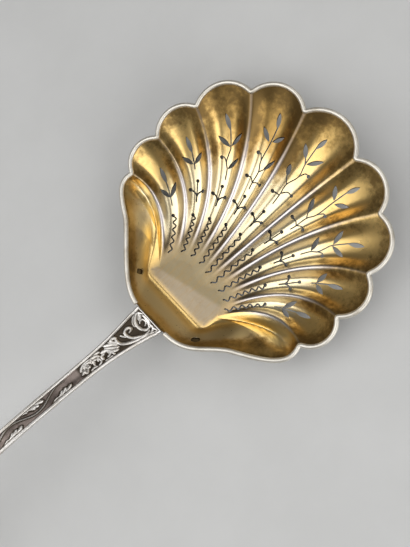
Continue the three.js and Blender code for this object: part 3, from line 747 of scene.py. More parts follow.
def makeBowl():  # the inner skin, the same one sheet lower, and walls between their edges
    (inner, normal, marks, climb), onRim, faces = bowlMesh()
    count = len(inner)
    drop = bowl["sheet"] * np.minimum(1 / normal[:, 2], bowl["sheetSpread"])
    outer = inner.copy()
    outer[:, 2] = np.maximum(0, inner[:, 2] - drop)
    # edges that only one triangle uses get a wall down to the outer skin
    sides = np.concatenate([faces[:, [0, 1]], faces[:, [1, 2]], faces[:, [2, 0]]])
    code = sides[:, 0] * count + sides[:, 1]
    lone = sides[~np.isin(code, sides[:, 1] * count + sides[:, 0])]
    walls = np.stack([lone[:, 0], lone[:, 0] + count, lone[:, 1] + count, lone[:, 1]], -1)
    below = faces[:, ::-1] + count
    everyFace = faces.tolist() + below.tolist() + walls.tolist()
    xyz = np.concatenate([inner, outer])
    piece = putMesh("shell_bowl_sheet", xyz, everyFace, "gilt_silver", ["shell_bowl"])
    edge = onRim[lone].all(1)
    blank = np.zeros(2 * len(faces))
    # the walls of the cuts take a painted shade, dark as the shade inside the piercings
    putAttribute(piece, "sawn", np.concatenate([blank, ~edge]), "FACE")
    putAttribute(piece, "rim", np.concatenate([blank, edge]), "FACE")
    plan = inner[:, :2]
    onBoth = dict(zip(("rib", "ribShade", "border", "wall"), marks.T), climb=climb, browned=browning(plan))
    onBoth |= {"dent": np.max(dentShares(plan), 0), "level": flatShare(plan), "front": flatFront(plan)}
    for name, values in onBoth.items():
        putAttribute(piece, name, np.tile(values, 2))
    putAttribute(piece, "inside", np.repeat([1.0, 0.0], count))
    # the inner skin takes the formula's own normals, and the rest keeps those of its faces
    mesh = piece.data
    mesh.set_sharp_from_angle(angle=np.radians(bowl["sharpAngle"]))
    corners = np.zeros((len(mesh.loops), 3))
    corners[: 3 * len(faces)] = normal[faces.reshape(-1)]
    mesh.normals_split_custom_set(corners.tolist())
    return piece


# Rim wire: a round bead along the sheet's edge, from one corner of the handle to the other

rimWire = {
    "radius": 0.7,
    "seat": 0.32,  # how far its middle sits above the sheet's edge
    "start": 5.5,  # half of the gap at the handle
    "step": 0.28,
    "softness": 2,  # steps over which the notches are rounded
    "samples": 60,  # points read from the edge of each flute and wing
    "sides": 16,
}


def makeWire():  # circles square to a path along the rim
    q = np.linspace(0, 1, rimWire["samples"])
    top = np.ones_like(q)
    line = [wingFace(1, q, top)]
    line += [fluteFace(k, q, top) for k in range(fluteCount)]
    line.append(wingFace(-1, q[::-1], top))
    line = np.concatenate(line)[:, :2]
    line = line[(np.abs(line[:, 1]) > rimWire["start"]) | (line[:, 0] > wingNotch[0])]
    run = lengthAlong(line)
    line = pointsAlong(line, run, np.linspace(0, run[-1], int(run[-1] / rimWire["step"])))
    # a bell curve rounds the notches, on a line that is carried on past its ends
    soft = rimWire["softness"]
    reach = 3 * soft
    bell = np.exp(-0.5 * (np.arange(-reach, reach + 1) / soft) ** 2)
    before, after = 2 * line[0] - line[reach:0:-1], 2 * line[-1] - line[-2 : -2 - reach : -1]
    padded = np.concatenate([before, line, after])
    line = np.stack([np.convolve(padded[:, i], bell / bell.sum(), "valid") for i in (0, 1)], -1)
    path = np.concatenate([line, (rimEdge(line[:, 0]) + rimWire["seat"])[:, None]], 1)
    along = unit(np.gradient(path, axis=0))
    side = unit(np.cross(along, [0, 0, 1]))
    up = np.cross(side, along)
    turn = fullTurn(rimWire["sides"])[None, :, None]
    rings = path[:, None] + (np.cos(turn) * side[:, None] + np.sin(turn) * up[:, None]) * rimWire["radius"]
    return putMesh("rim_wire_bead", *closedTube(rings), "silver", ["rim_wire"])


# Handle: a struck bar with a rail along its edges and scroll relief on a sunk ground

handle = {
    "length": 128,
    "lip": 1.45,  # how far the face runs on over the bowl's edge
    "lipDepth": 0.44,
    "proud": 0.5,
    "archHeight": 34,
    "archDistance": 64,
    "climb": ((0.36, 0.5), (0.7, 0.87)),  # shares of the way to the arch and of its height
    "fall": ((0.34, 0.84), (0.66, 0.45)),  # shares of the way on to the end, and of the arch's height
    "footRise": 0.18,  # the last of that fall, just before the resting end
    "restLength": 7,
    "endDip": 0.1,
    "thickness": 2.4,
    "jointThickness": 3.2,
    "taperLength": 10,
    "flare": (  # distance from the bowl and half the width
        (-1.5, 5.1), (0, 4.88), (2, 4.52), (5, 3.98), (7, 3.64), (10, 3.22),
        (13, 2.9), (16, 2.71), (20, 2.55), (26, 2.45), (34, 2.42), (44, 2.4),
    ),
    "stemHalf": 2.5,
    "endLength": 43,
    "endHalf": 9.2,
    "swelling": ((1, 0.13), (0.56, 0.67), (0.3, 1)),  # share of the end's length still to go, and width
    "closing": ((0.11, 0.8), (0, 0.3)),
    "sway": 0.34,  # the stem lies this much to the left of the middle of the rear rim
    "swaySpan": (2, 10, 75),  # whole from the first of these on, fading from the second to the last
    "solderGap": 0.3,
    "rail": 0.9,
    "railDrop": 0.36,  # how much lower the rail's edges are than its crest
    "railPower": 4,  # how flat its crest is
    "railFade": (1, 1.08),  # where the rail ends, in rails from the edge
    "offRail": 9,  # how far down the rail's formula goes past there, out of the ground's way
    "reliefFade": (0.9, 1.3),  # where the relief begins
    "groove": 0.15,
    "thread": 0.4,  # rail across the end at the bowl
    "swell": 1.5,  # strands' widths over those listed
    "strandTaper": (0.45, 1.6),  # width at a strand's ends, and how fast it grows
    "strandSpan": (0.02, 0.98),  # past these shares of its length the width stays as it is
    "strandSteps": 10,  # for each of its points
    "strandRoom": 3,  # how far round a strand the face is looked at, in half widths
    "strandShade": (2.6, 1.0),  # tarnish round a strand, in half widths from its middle
    "ground": 0.55,  # depth of the sunk ground
    "grooveDip": 0.2,  # how much deeper it is beside the rail, as a share
    "grooveEnd": 1.1,  # that dip is whole up to here, in rails from the edge
    "lipGround": 0.4,
    "lipGroundEnd": 0.1,  # the ground is no deeper than the lip's up to here
    "groundFade": (-0.4, 0.8),  # from the lip's ground to the bar's
    "hollow": 0.14,  # how much deeper the smooth panels dip in the middle
    "hollowWhole": 0.98,  # where that is whole, as a share of half the width
    "panels": (20, 22, 92, 95),  # the smooth panels begin and end here
    "backLeast": 0.4,  # how far down the back begins, as a share of the lip's depth
    "back": (  # half round the back: shares of half the width and of the depth
        (1, 0.3), (1, 0.62), (0.93, 0.86), (0.78, 0.97), (0.5, 1), (0, 1),
    ),
    "rows": (0, 22, 50, 92, 128),
    "rowCounts": (230, 200, 200, 260),
    "lipRows": 22,
    "lipStep": 0.01,  # from the last of the lip's rows to the first of the bar's
    "across": 64,
    "lineSteps": 3000,
}
rearHeight = float(rimEdge(np.array(0.0)))
wallLean = bowl["creaseDistance"] / (rearHeight - bowl["sheet"])
wallNormalX = 1 / np.hypot(1, wallLean)
handleStart = -handle["proud"] * wallLean - (bowl["sheet"] + handle["solderGap"]) / wallNormalX
handleEnd = handleStart - handle["length"]


def handleLines():  # the face's height and half the width, as splines along the handle
    top, arch = rearHeight + handle["proud"], handle["archHeight"]
    far, rest = handle["archDistance"], handle["restLength"]
    face = [
        (handleStart, top),
        *((-way * far, lerp(top, arch, rise)) for way, rise in handle["climb"]),
        (-far, arch),
        *((lerp(-far, handleEnd, way), arch * rise) for way, rise in handle["fall"]),
        (handleEnd + 2 * rest, arch * handle["footRise"]),
        (handleEnd + rest, handle["thickness"]),
        (handleEnd, handle["thickness"] - handle["endDip"]),
    ]
    length, spread = handle["length"], handle["endLength"]
    stem, end = handle["stemHalf"], handle["endHalf"]
    width = [
        *handle["flare"],
        (far, stem),
        *((length - left * spread, lerp(stem, end, share)) for left, share in handle["swelling"]),
        *((length - left * spread, share * end) for left, share in handle["closing"]),
    ]
    return spline(face, handle["lineSteps"]), spline(width, handle["lineSteps"])


faceLine, widthLine = handleLines()


def handleFace(s):  # height of the face at a distance from the bowl
    return np.interp(s, handleStart - faceLine[:, 0], faceLine[:, 1])


def handleHalf(s):  # half the width
    return np.interp(s, widthLine[:, 0], widthLine[:, 1])


def handleMiddle(s):  # the middle line, which sways to the left
    return handle["sway"] * plateau(-handle["lip"], *handle["swaySpan"], s)


def handleThickness(x):  # more at the joint, where the bar tapers
    taper = np.maximum(0, 1 + x / handle["taperLength"])
    return lerp(handle["thickness"], handle["jointThickness"], taper)


# Strands of the relief as (distance from the bowl, millimetres to the left), half width and height
bowlScrolls = [
    (((-0.9, 2.5), (0.2, 3.7), (1.5, 2.7), (2.2, 1.4), (2.3, 0), (1.8, -1.2), (0.9, -1.7), (0, -1.3),
      (-0.6, -0.4), (-0.8, 1), (-0.6, 2)), 0.34, 0.5),
    (((0.8, -0.5), (-0.1, 0.2), (0.1, 1.2), (0.8, 1.5), (1.4, 0.9)), 0.26, 0.4),
    (((0, 2.9), (0.5, 2.3), (0.9, 1.9)), 0.5, 0.34),
    (((1.1, 3.8), (2, 3.2), (2.8, 2), (2.9, 0.9)), 0.2, 0.4),
    (((0.8, -2.4), (2.6, -2.6), (4.1, -1.8), (5.3, -1), (5.9, 0.2), (5.9, 1.4), (5.1, 2), (4.2, 1.9),
      (4, 1.2), (4.9, 0.7)), 0.33, 0.52),
    (((-0.8, -4.1), (2, -3.2), (4, -2.55), (5.8, -2), (7.3, -1.3), (8.4, -0.4), (8.8, 0.8), (8.5, 1.9)),
     0.34, 0.55),
    (((-0.5, -1.5), (-0.4, -2.7), (-0.8, -3.6)), 0.24, 0.4),
    (((8.3, 1.8), (9.1, 2.3), (9.8, 2.1), (9.6, 1.2), (8.9, 0.9)), 0.34, 0.55),
    (((12.2, 2.2), (10.8, 1.5), (9.3, 0.2)), 0.32, 0.52),
    (((12.2, 1.4), (10.9, 0.5), (9.3, -0.6)), 0.34, 0.55),
    (((13.7, 1.1), (12.4, 0.8), (11.2, -0.4), (9.8, -1.1)), 0.36, 0.58),
    (((11.2, -1.6), (11.4, -0.8), (12.3, 0)), 0.28, 0.5),
    (((14.1, -0.8), (14.1, 0.3), (13.1, 0.5)), 0.3, 0.52),
    (((11.8, -1.5), (13, -1.6), (14, -1.4)), 0.22, 0.42),
    (((16.2, 2.2), (14.9, 2), (13.8, 1.6)), 0.28, 0.5),
    (((17, 0.7), (16.4, 1.5), (15.3, 1.4), (14.5, 0.8)), 0.32, 0.55),
    (((16.7, -0.5), (16.4, 0.6), (15.6, 0.7)), 0.3, 0.55),
    (((16, -1.4), (14.8, -0.7), (14.9, 0.2)), 0.26, 0.48),
    (((19.4, 0.3), (18.3, 1.2), (17.3, 1.2), (17.1, 0.4)), 0.3, 0.55),
    (((20.4, 0.5), (19.4, 1.3), (18.1, 1.8), (17, 1.8)), 0.32, 0.56),
    (((20.5, -0.5), (19.6, 0), (19.4, -1)), 0.34, 0.55),
    (((19.2, -1), (18.5, 0), (17.7, 0.1)), 0.3, 0.52),
    (((18.2, -1.1), (17.2, -0.9), (16.4, -1.2)), 0.26, 0.46),
    (((7.2, 1.6), (6.7, 0.7), (5.9, 0.2)), 0.26, 0.42),
    (((10.6, 2.2), (10.2, 1.5), (9.3, 1.1)), 0.26, 0.46),
    (((15.4, -0.3), (15.2, 0.4), (14.4, 0.9)), 0.26, 0.46),
    (((13, -0.9), (12.2, -0.7), (11.6, -0.1)), 0.26, 0.46),
    (((18.9, 0.6), (18.3, 0.4), (17.9, 0.7)), 0.24, 0.44),
    (((-0.3, -2.6), (0.9, -3.1), (2.2, -2.9)), 0.24, 0.4),
]
tufts = {
    "first": 24.1,
    "spacing": 7.7,
    "count": 9,
    "leaves": (  # distance ahead and to the side
        ((0, 0.75), (0.9, 1.1), (2.1, 1.75)),
        ((1.5, 0.5), (2.5, 1.0), (3.6, 1.7)),
        ((2.7, 0.5), (3.8, 1.3), (5.2, 1.9)),
        ((4.6, 1.1), (5.7, 1.6), (6.8, 2.0)),
    ),
    "leafHalf": (0.35, 0.03),  # half the first leaf's width, and how much less each next one has
    "leafRise": 0.55,
    "ridge": (0.4, 1.05, 42),  # middle, swing and a crest of the ridge that winds between the tufts
    "ridgeHalf": 0.18,
    "ridgeRise": 0.26,
    "ridgeSteps": 8,  # for each tuft
}
endScrolls = [  # drawn on the left and repeated on the right
    (((95.5, 0.4), (97, 2.2), (99.5, 2.6), (100.6, 1.3), (99.3, 0.6), (98.6, 1.5)), 0.45, 0.6),
    (((93.5, 0.5), (95.2, 1.8), (96.8, 3), (98.6, 3.9)), 0.34, 0.5),
    (((100.5, 4), (102.6, 5.4), (105, 5.9), (106.4, 4.8), (105, 4), (103.9, 4.8)), 0.45, 0.6),
    (((103.4, 6.4), (106, 7.1), (108.6, 7)), 0.34, 0.5),
    (((108, 6), (111, 7.1), (114, 7), (115.5, 5.9), (114.2, 5.1), (113, 5.8)), 0.42, 0.58),
    (((116.6, 6.6), (119, 5.8), (121, 4.7)), 0.36, 0.5),
    (((118, 4.9), (120.4, 3.9), (122.4, 2.2), (121.6, 1.2), (120.4, 2)), 0.4, 0.56),
    (((123.6, 2.6), (125, 1.2), (125.4, 0)), 0.32, 0.5),
    (((101.4, 0), (102.3, 2.2), (105.2, 3.3), (110, 3.9), (114.8, 3.4), (117.7, 2.1), (118.6, 0)),
     0.34, 0.6),
]


def stemStrands():  # tufts of leaves, right and left in turn, and the ridge that winds between them
    strands = []
    first, spacing, count = tufts["first"], tufts["spacing"], tufts["count"]
    half, less = tufts["leafHalf"]
    for i in range(count):
        s = first + i * spacing
        side = -1 if i % 2 == 0 else 1
        for j, leaf in enumerate(tufts["leaves"]):
            path = [(s + a, float(handleMiddle(s + a)) + side * b) for a, b in leaf]
            strands.append((path, half - less * j, tufts["leafRise"]))
    middle, swing, crest = tufts["ridge"]
    s = np.arange(first + 1, first + spacing * count, spacing / tufts["ridgeSteps"])
    sway = handleMiddle(s) + middle + swing * np.cos(np.pi * (s - crest) / spacing)
    strands.append((np.stack([s, sway], -1), tufts["ridgeHalf"], tufts["ridgeRise"]))
    return strands


def relief(s, w):  # height over the ground, a half round on each strand, and closeness to a strand's foot
    mirrored = [(tuple((a, -b) for a, b in path), r, h) for path, r, h in endScrolls]
    tip, growth = handle["strandTaper"]
    height = np.zeros_like(s)
    shade = np.zeros_like(s)
    for points, radius, rise in bowlScrolls + stemStrands() + endScrolls + mirrored:
        path = spline(points, handle["strandSteps"] * len(points))
        room = handle["strandRoom"] * radius
        low, high = path.min(0) - room, path.max(0) + room
        near = np.flatnonzero((s > low[0]) & (s < high[0]) & (w > low[1]) & (w < high[1]))
        here = np.stack([s[near], w[near]], -1)
        gap = np.linalg.norm(here[:, None] - path[None], axis=2)
        u = np.clip(gap.argmin(1) / (len(path) - 1), *handle["strandSpan"])
        gap = gap.min(1) / (handle["swell"] * radius * np.clip(tip + growth * np.sin(np.pi * u), 0, 1))
        height[near] = np.maximum(height[near], rise * np.sqrt(np.clip(1 - gap**2, 0, 1)))
        shade[near] = np.maximum(shade[near], smooth(*handle["strandShade"], gap))
    return height, shade


def makeHandle():  # rows of points along the handle, each once round it
    marks, counts = handle["rows"], handle["rowCounts"]
    stretches = [np.linspace(a, b, n, endpoint=False) for a, b, n in zip(marks, marks[1:], counts)]
    lipRows = handle["lipRows"]
    # the last of the lip's rows and the first of the bar's are almost at one place and differ in depth
    s = np.concatenate([np.linspace(-handle["lip"], -handle["lipStep"], lipRows), *stretches, [marks[-1]]])
    half = handleHalf(s)[:, None]
    face = handleFace(s)
    x = handleStart - s
    slope = np.gradient(face, s)
    depth = np.minimum(handleThickness(x) * np.sqrt(1 + np.minimum(slope**2, 1)), face)
    depth[:lipRows] = handle["lipDepth"]
    # across the face: rails with a groove inside them, then the ground with its relief
    v = np.linspace(-1, 1, handle["across"] + 1)
    inward = half * (1 - np.abs(v))
    w = handleMiddle(s)[:, None] + half * v
    along = np.broadcast_to(s[:, None], w.shape)
    height, shade = (values.reshape(w.shape) for values in relief(along.ravel(), w.ravel()))
    rail, groove = handle["rail"], handle["groove"]
    inset = np.minimum(inward / rail, (along + handle["lip"]) / handle["thread"])  # from an edge, in rails
    crest = np.clip(1 - (2 * inset - 1) ** handle["railPower"], 0, 1)
    onRail = 1 - smooth(*handle["railFade"], inset)
    railTop = onRail * handle["railDrop"] * (crest - 1) - handle["offRail"] * (1 - onRail)
    middle = smooth(rail + groove, half * handle["hollowWhole"], inward)
    sunk = lerp(handle["lipGround"], handle["ground"], smooth(*handle["groundFade"], along))
    dip = handle["grooveDip"] * smooth(1 + groove / rail, handle["grooveEnd"], inset) * smooth(0, 1, along)
    ground = -sunk * (1 + dip) - handle["hollow"] * middle
    shallow = np.maximum(ground, -handle["lipGround"])
    ground = np.where(along < handle["lipGroundEnd"], shallow, ground)
    lift = np.minimum(height, sunk) * smooth(*handle["reliefFade"], inset)
    down = np.maximum(ground + lift, railTop)
    up = np.clip((down - ground) / sunk, 0, 1)
    top = np.stack([np.broadcast_to(x[:, None], w.shape), w, face[:, None] + down], -1)
    # round the back: sides, a bevel and a flat underside
    ring = np.array(handle["back"])
    ring = np.concatenate([ring, (ring * [-1, 1])[-2::-1]])
    backX = np.broadcast_to(x[:, None], (len(s), len(ring)))
    backY = handleMiddle(s)[:, None] + half * ring[:, 0]
    backZ = face[:, None] - np.maximum(depth[:, None] * ring[:, 1], handle["backLeast"] * handle["lipDepth"])
    rings = np.concatenate([top, np.stack([backX, backY, backZ], -1)], 1)
    # the bar's end follows the leaning wall
    rings[lipRows, :, 0] += (face[lipRows] - rings[lipRows, :, 2]) * wallLean + handle["solderGap"]
    rings[lipRows, : handle["across"] + 1, 0] = x[lipRows]
    piece = putMesh("handle_bar", *closedTube(rings), "oxidised_silver", ["handle"])
    crowd = np.maximum(shade, 1 - plateau(*handle["panels"], along))
    for name, values, rest in (("proud", up, 1), ("crowd", crowd, 0)):
        values = np.pad(values, ((0, 0), (0, len(ring))), constant_values=rest).ravel()
        putAttribute(piece, name, np.pad(values, (0, 2), constant_values=rest))  # and the ends' middles
    return piece


# Heel plate: a strap bent under the joint

heel = {
    "thickness": 0.9,
    "reach": 10,
    "tail": 1.5,  # it runs this much further back
    "drop": 5,
    "dropShares": (0.8, 0.75),  # how much of the drop follows the wall's lean, and goes down
    "half": 3.2,
    "tailShare": 0.62,  # width of its tail, as a share
    "tailEnd": 0.7,  # share of its length by which it has widened
    "ends": ((8, 0.02), (10, 0.05)),  # its width's and thickness's closing: power, and least left, squared
    "gap": 0.12,
    "bend": (-2.1, 0.4),  # where it turns down, and how much lower it is there
    "slant": 1.12,  # the bar's thickness straight down over its own
    "corners": (0.35, 0.5),  # powers that fill out its section, across and through
    "samples": 60,
    "sides": 24,
}


def filledOut(wave, power):  # a sine or cosine whose corners a power below 1 fills out
    return np.sign(wave) * np.abs(wave) ** power


def makeHeel():  # a flat section with rounded corners, carried along a bent line under the bar
    reach, drop = heel["reach"], heel["drop"]
    under = lambda x: handleFace(handleStart - x) - handleThickness(x) * heel["slant"] - heel["gap"]
    bendX, bendDrop = heel["bend"]
    lean, fall = heel["dropShares"]
    points = [(x, under(x)) for x in (-reach - heel["tail"], -reach, -0.5 * reach)]
    points.append((bendX, under(bendX) - bendDrop))
    points.append((bendX + drop * wallNormalX * wallLean**2 * lean, under(bendX) - drop * fall))
    line = spline(points, heel["samples"])
    u = np.linspace(0, 1, heel["samples"])
    narrow, thin = (np.sqrt(np.clip(1 - (2 * u - 1) ** power, least, 1)) for power, least in heel["ends"])
    half = heel["half"] * lerp(heel["tailShare"], 1, smooth(0, heel["tailEnd"], u)) * narrow
    along = unit(np.gradient(line, axis=0))
    off = np.stack([along[:, 1], -along[:, 0]], -1)
    turn = fullTurn(heel["sides"])
    wide, deep = heel["corners"]
    thick = (1 + filledOut(np.sin(turn), deep)) / 2 * heel["thickness"]
    xz = line[:, None] + off[:, None] * (thick * thin[:, None])[..., None]
    y = half[:, None] * filledOut(np.cos(turn), wide)
    rings = np.stack([xz[..., 0], y, xz[..., 1]], -1)
    return putMesh("heel_strap", *closedTube(rings), "silver", ["heel_plate"])


# Finishes


class Wire:  # a shader socket that can be added, multiplied and so on
    def __init__(self, tree, socket=None):
        self.tree = tree
        self.socket = socket

    def node(self, kind, settings=(), values=(), out=0):
        made = self.tree.nodes.new(kind)
        for name, value in dict(settings).items():
            setattr(made, name, value)
        for key, value in dict(values).items():
            if isinstance(value, Wire):
                self.tree.links.new(value.socket, made.inputs[key])
            else:
                made.inputs[key].default_value = value
        return Wire(self.tree, made.outputs[out]) if made.outputs else made

    def maths(self, operation, first, second):
        return self.node("ShaderNodeMath", {"operation": operation}, {0: first, 1: second})

    def __add__(self, other):
        return self.maths("ADD", self, other)

    def __sub__(self, other):
        return self.maths("SUBTRACT", self, other)

    def __rsub__(self, other):
        return self.maths("SUBTRACT", other, self)

    def __mul__(self, other):
        return self.maths("MULTIPLY", self, other)

    __radd__ = __add__
    __rmul__ = __mul__

    def span(self, low, high):  # 0 at low and 1 at high, smooth between
        values = {"Value": self, "From Min": low, "From Max": high}
        return self.node("ShaderNodeMapRange", {"interpolation_type": "SMOOTHSTEP"}, values)

    def blend(self, first, second):  # colours mixed by this value
        return self.node("ShaderNodeMix", {"data_type": "RGBA"}, {0: self, 6: first, 7: second}, 2)

    def noise(self, scale, detail, rough, stretch=(1, 1, 1), turn=0):  # on Object coordinates, in metres
        place = self.node("ShaderNodeTexCoord", out=3)
        placed = self.node("ShaderNodeMapping", {}, {0: place, 2: (0, 0, turn), 3: stretch})
        values = {"Vector": placed, "Scale": scale, "Detail": detail, "Roughness": rough}
        return self.node("ShaderNodeTexNoise", {}, values)

    def attribute(self, name):
        return self.node("ShaderNodeAttribute", {"attribute_name": name}, out=2)


def startMaterial(name):  # a material with no nodes yet, and a wire to add them by
    material = bpy.data.materials.new(name)
    material.use_nodes = True
    tree = material.node_tree
    tree.nodes.clear()
    return material, Wire(tree)


def finishMaterial(wire, values):
    shader = wire.node("ShaderNodeBsdfPrincipled", {}, values)
    wire.node("ShaderNodeOutputMaterial", {}, {"Surface": shader})


def finishMetal(wire, colour, rough, height, strength, distance):  # the last three are its bump's
    bump = wire.node("ShaderNodeBump", {}, {"Strength": strength, "Distance": distance, "Height": height})
    finishMaterial(wire, {"Base Color": colour, "Metallic": 1.0, "Roughness": rough, "Normal": bump})


def tints(finish):  # a finish's colours, opaque
    return {name: (*colour, 1) for name, colour in finish.items()}


gilding = {
    "gold": (0.78, 0.535, 0.2),
    "pale": (0.86, 0.74, 0.48),  # a painted highlight half way up the flutes
    "brown": (0.43, 0.26, 0.075),
    "smudge": (0.15, 0.095, 0.035),
    # painted shade on the left of each rib
    "paintedRibShade": (0.22, 0.19, 0.175),
    "root": (0.22, 0.165, 0.105),  # tarnish where the flutes leave the flat
    "dent": (0.025, 0.015, 0.006),
    "flatRear": (0.42, 0.35, 0.255),
    "flatFront": (0.32, 0.265, 0.165),
    "foot": (0.95, 0.72, 0.3),  # painted highlight in the fold under the plain walls
    "rubbed": (0.6, 0.565, 0.57),  # bare silver on the ribs
    # painted shade on the walls of the cuts
    "sawn": (0.05, 0.034, 0.018),
    "edge": (0.88, 0.82, 0.68),
    "under": (0.42, 0.385, 0.33),
    "underDull": (0.24, 0.205, 0.165),
}


def giltSilver():
    material, wire = startMaterial("worn_gilt_and_painted_light")
    tint = tints(gilding)
    names = ("rib", "climb", "inside", "dent", "front", "border", "ribShade", "wall", "level")
    rib, climb, inside, dent, front, border, ribShade, wall, level = map(wire.attribute, names)
    broad = wire.noise(110, 5, 0.6)
    fine = wire.noise(600, 5, 0.65)
    grain = wire.noise(2600, 3, 0.6)
    brushed = wire.noise(160, 4, 0.7, (1, 9, 1), -0.32)
    # browned towards the lobes' ends, a painted highlight half way up the flutes, grey on the flat
    pale = climb.span(0.04, 0.3) * (1 - (climb + (broad - 0.5) * 0.3).span(0.5, 0.8))
    browned = wire.attribute("browned") * climb.span(0.45, 0.85)
    brown = (broad * 0.8 + fine * 0.35 + border * 0.24 + browned * 0.3).span(0.64, 0.98)
    smudge = (fine * 0.45 + broad * 0.7 + border * 0.22 + browned * 0.08).span(0.62, 0.9)
    # painted shade on the left of each rib, on the flank turned away from the light
    paintedRibShade = (ribShade + (fine - 0.5) * 0.5).span(0.25, 0.9)
    root = (1 - wall) * (1 - (climb + (fine - 0.5) * 0.12).span(0.14, 0.38))
    flat = (1 - (climb + (broad - 0.5) * 0.3).span(0.0, 0.2)) * level
    tint["flat"] = (front + (broad - 0.5) * 0.5).span(0.15, 0.85).blend(tint["flatRear"], tint["flatFront"])
    tint["flat"] = (brushed.span(0.42, 0.72) * 0.34).blend(tint["flat"], tint["brown"])
    # painted highlight on the rounded fold at the foot of the plain walls
    foot = wall * climb.span(0.0, 0.1) * (1 - climb.span(0.1, 0.4))
    worn = (rib + (fine - 0.5) * 0.2).span(0.3, 0.85) * climb.span(0.06, 0.24)
    worn = worn * (1 - climb.span(0.55, 0.85) * 0.85)
    ring = dent.span(0.03, 0.3) * (1 - dent.span(0.85, 1) * 0.25)
    layers = (  # from the lowest up: colour, mask and strength
        ("brown", brown, 0.85),
        ("smudge", smudge, 0.85),
        ("paintedRibShade", paintedRibShade, 0.62),
        ("root", root, 0.82),
        ("flat", flat, 0.92),
        ("foot", foot, 0.6),
        ("rubbed", worn, 0.92),
        ("dent", ring, 0.95),
    )
    colour = pale.blend(tint["gold"], tint["pale"])
    for name, mask, strength in layers:
        colour = (mask * strength).blend(colour, tint[name])
    under = (broad * 0.6 + fine * 0.4).span(0.45, 0.7).blend(tint["under"], tint["underDull"])
    colour = inside.span(0.45, 0.55).blend(under, colour)
    # the walls of the cuts are painted near black: a painted shade in the piercings
    colour = wire.attribute("sawn").blend(colour, tint["sawn"])
    colour = wire.attribute("rim").blend(colour, tint["edge"])
    rough = 0.24 + brown * 0.1 + flat * 0.2 + fine * 0.1
    finishMetal(wire, colour, rough, fine * 0.5 + broad * 0.8 + grain * 0.15, 0.14, 0.0004)
    return material


polished = {"clear": (0.8, 0.76, 0.68), "dull": (0.6, 0.54, 0.44)}


def brightSilver():
    material, wire = startMaterial("polished_silver")
    tint = tints(polished)
    broad = wire.noise(180, 4, 0.6)
    fine = wire.noise(1400, 4, 0.6)
    scratch = wire.noise(500, 3, 0.7, (1, 10, 1), 0.5)
    colour = broad.span(0.45, 0.75).blend(tint["clear"], tint["dull"])
    finishMetal(wire, colour, 0.42 + fine * 0.1, fine + scratch, 0.05, 0.0002)
    return material


oxidised = {
    "panel": (0.34, 0.28, 0.25),
    "panelDark": (0.16, 0.13, 0.115),
    "ground": (0.07, 0.055, 0.04),  # round the strands
    "high": (0.84, 0.81, 0.77),
    "highDull": (0.66, 0.61, 0.54),
}


def oxidisedSilver():
    material, wire = startMaterial("oxidised_silver")
    tint = tints(oxidised)
    proud, crowd = wire.attribute("proud"), wire.attribute("crowd")
    broad = wire.noise(220, 4, 0.6)
    fine = wire.noise(1300, 4, 0.6)
    lifted = (proud + (fine - 0.5) * 0.3).span(0.12, 0.9)
    panel = broad.span(0.35, 0.7).blend(tint["panel"], tint["panelDark"])
    sunk = crowd.span(0.1, 0.9).blend(panel, tint["ground"])
    bright = broad.span(0.4, 0.75).blend(tint["high"], tint["highDull"])
    rough = 0.36 - lifted * 0.06 + fine * 0.1
    finishMetal(wire, lifted.blend(sunk, bright), rough, fine + broad, 0.12, 0.0002)
    return material


pieces = (
    (makeBowl, giltSilver),
    (makeWire, brightSilver),
    (makeHandle, oxidisedSilver),
    (makeHeel, brightSilver),
)
for make, finish in pieces:
    make().data.materials.append(finish())
print("pieces made")

# Camera: the photograph's view, as a distance, a tilt, a turn and a roll about a point over the bowl

view = {
    "focal": 800,  # in pixels of a 410 by 547 image
    "imageHeight": 547,
    "sensor": 36,
    "distance": 225,
    "tilt": 12.4,
    "turn": -10.2,
    "roll": 54.5,
    "target": (19.5, -1.0, 8),
    "nearest": 5,  # nothing closer is drawn
}


def turned(axis, angle):  # a turn about an axis, in degrees
    return Matrix.Rotation(np.radians(angle), 3, axis)


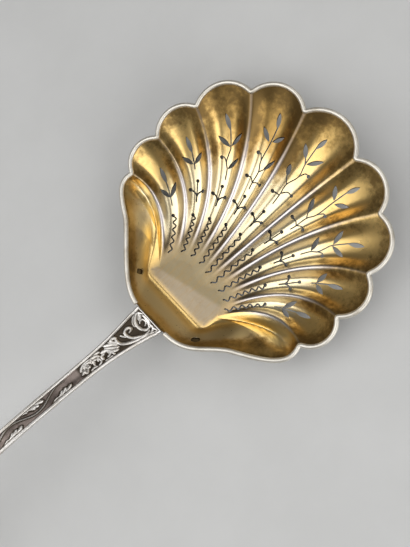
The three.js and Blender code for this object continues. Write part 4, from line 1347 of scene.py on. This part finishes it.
toCamera = turned("Z", view["roll"]) @ turned("X", -view["tilt"]) @ turned("Z", view["turn"])
toWorld = toCamera.transposed()
target = (Vector(view["target"]) - Vector((frameShift, 0, 0))) * millimetre
camera = bpy.data.objects.new("camera", bpy.data.cameras.new("camera"))
camera.data.sensor_width = view["sensor"]
camera.data.lens = view["focal"] * view["sensor"] / view["imageHeight"]
camera.data.clip_start = view["nearest"] * millimetre
place = Matrix.Translation(target + toWorld @ Vector((0, 0, view["distance"] * millimetre)))
camera.matrix_world = place @ toWorld.to_4x4()
bpy.context.collection.objects.link(camera)
bpy.context.scene.camera = camera

# Stage, in metres: a pale floor, three soft boxes and a dim room

studio = {
    "floorHalf": 1.5,
    "floorDrop": 0.0001,
    "floor": {"light": (0.65, 0.65, 0.64), "dark": (0.62, 0.62, 0.61)},
    "lamps": (  # direction to the right, up and towards the camera, distance, size and power
        ((-0.6, -0.05, 0.8), 0.5, 0.5, 1.6),
        ((0.6, -0.4, 0.69), 0.5, 0.4, 1.1),
        ((0.34, 0.6, 0.72), 0.5, 0.3, 0.46),
    ),
    "room": 0.13,
}


def paleFloor():
    material, wire = startMaterial("pale_floor")
    tint = tints(studio["floor"])
    colour = wire.noise(30, 5, 0.6).span(0.3, 0.7).blend(tint["dark"], tint["light"])
    finishMaterial(wire, {"Base Color": colour, "Roughness": 0.75})
    return material


half, low = studio["floorHalf"], -studio["floorDrop"]
floorMesh = bpy.data.meshes.new("floor")
corners = [(-half, -half, low), (half, -half, low), (half, half, low), (-half, half, low)]
floorMesh.from_pydata(corners, [], [(0, 1, 2, 3)])
floorMesh.materials.append(paleFloor())
floor = bpy.data.objects.new("floor", floorMesh)
bpy.context.collection.objects.link(floor)
for i, (direction, distance, size, power) in enumerate(studio["lamps"]):
    lamp = bpy.data.objects.new(f"soft_box_{i}", bpy.data.lights.new(f"soft_box_{i}", "AREA"))
    lamp.data.size = size
    lamp.data.energy = power
    aim = (toWorld @ Vector(direction)).normalized()
    lamp.location = target + aim * distance
    lamp.rotation_euler = aim.to_track_quat("Z", "Y").to_euler()
    bpy.context.collection.objects.link(lamp)
world = bpy.data.worlds.new("room")
world.use_nodes = True
background = world.node_tree.nodes["Background"]
background.inputs["Color"].default_value = (1, 1, 1, 1)
background.inputs["Strength"].default_value = studio["room"]
scene = bpy.context.scene
scene.world = world
scene.view_settings.view_transform = "Standard"
print("stage set")
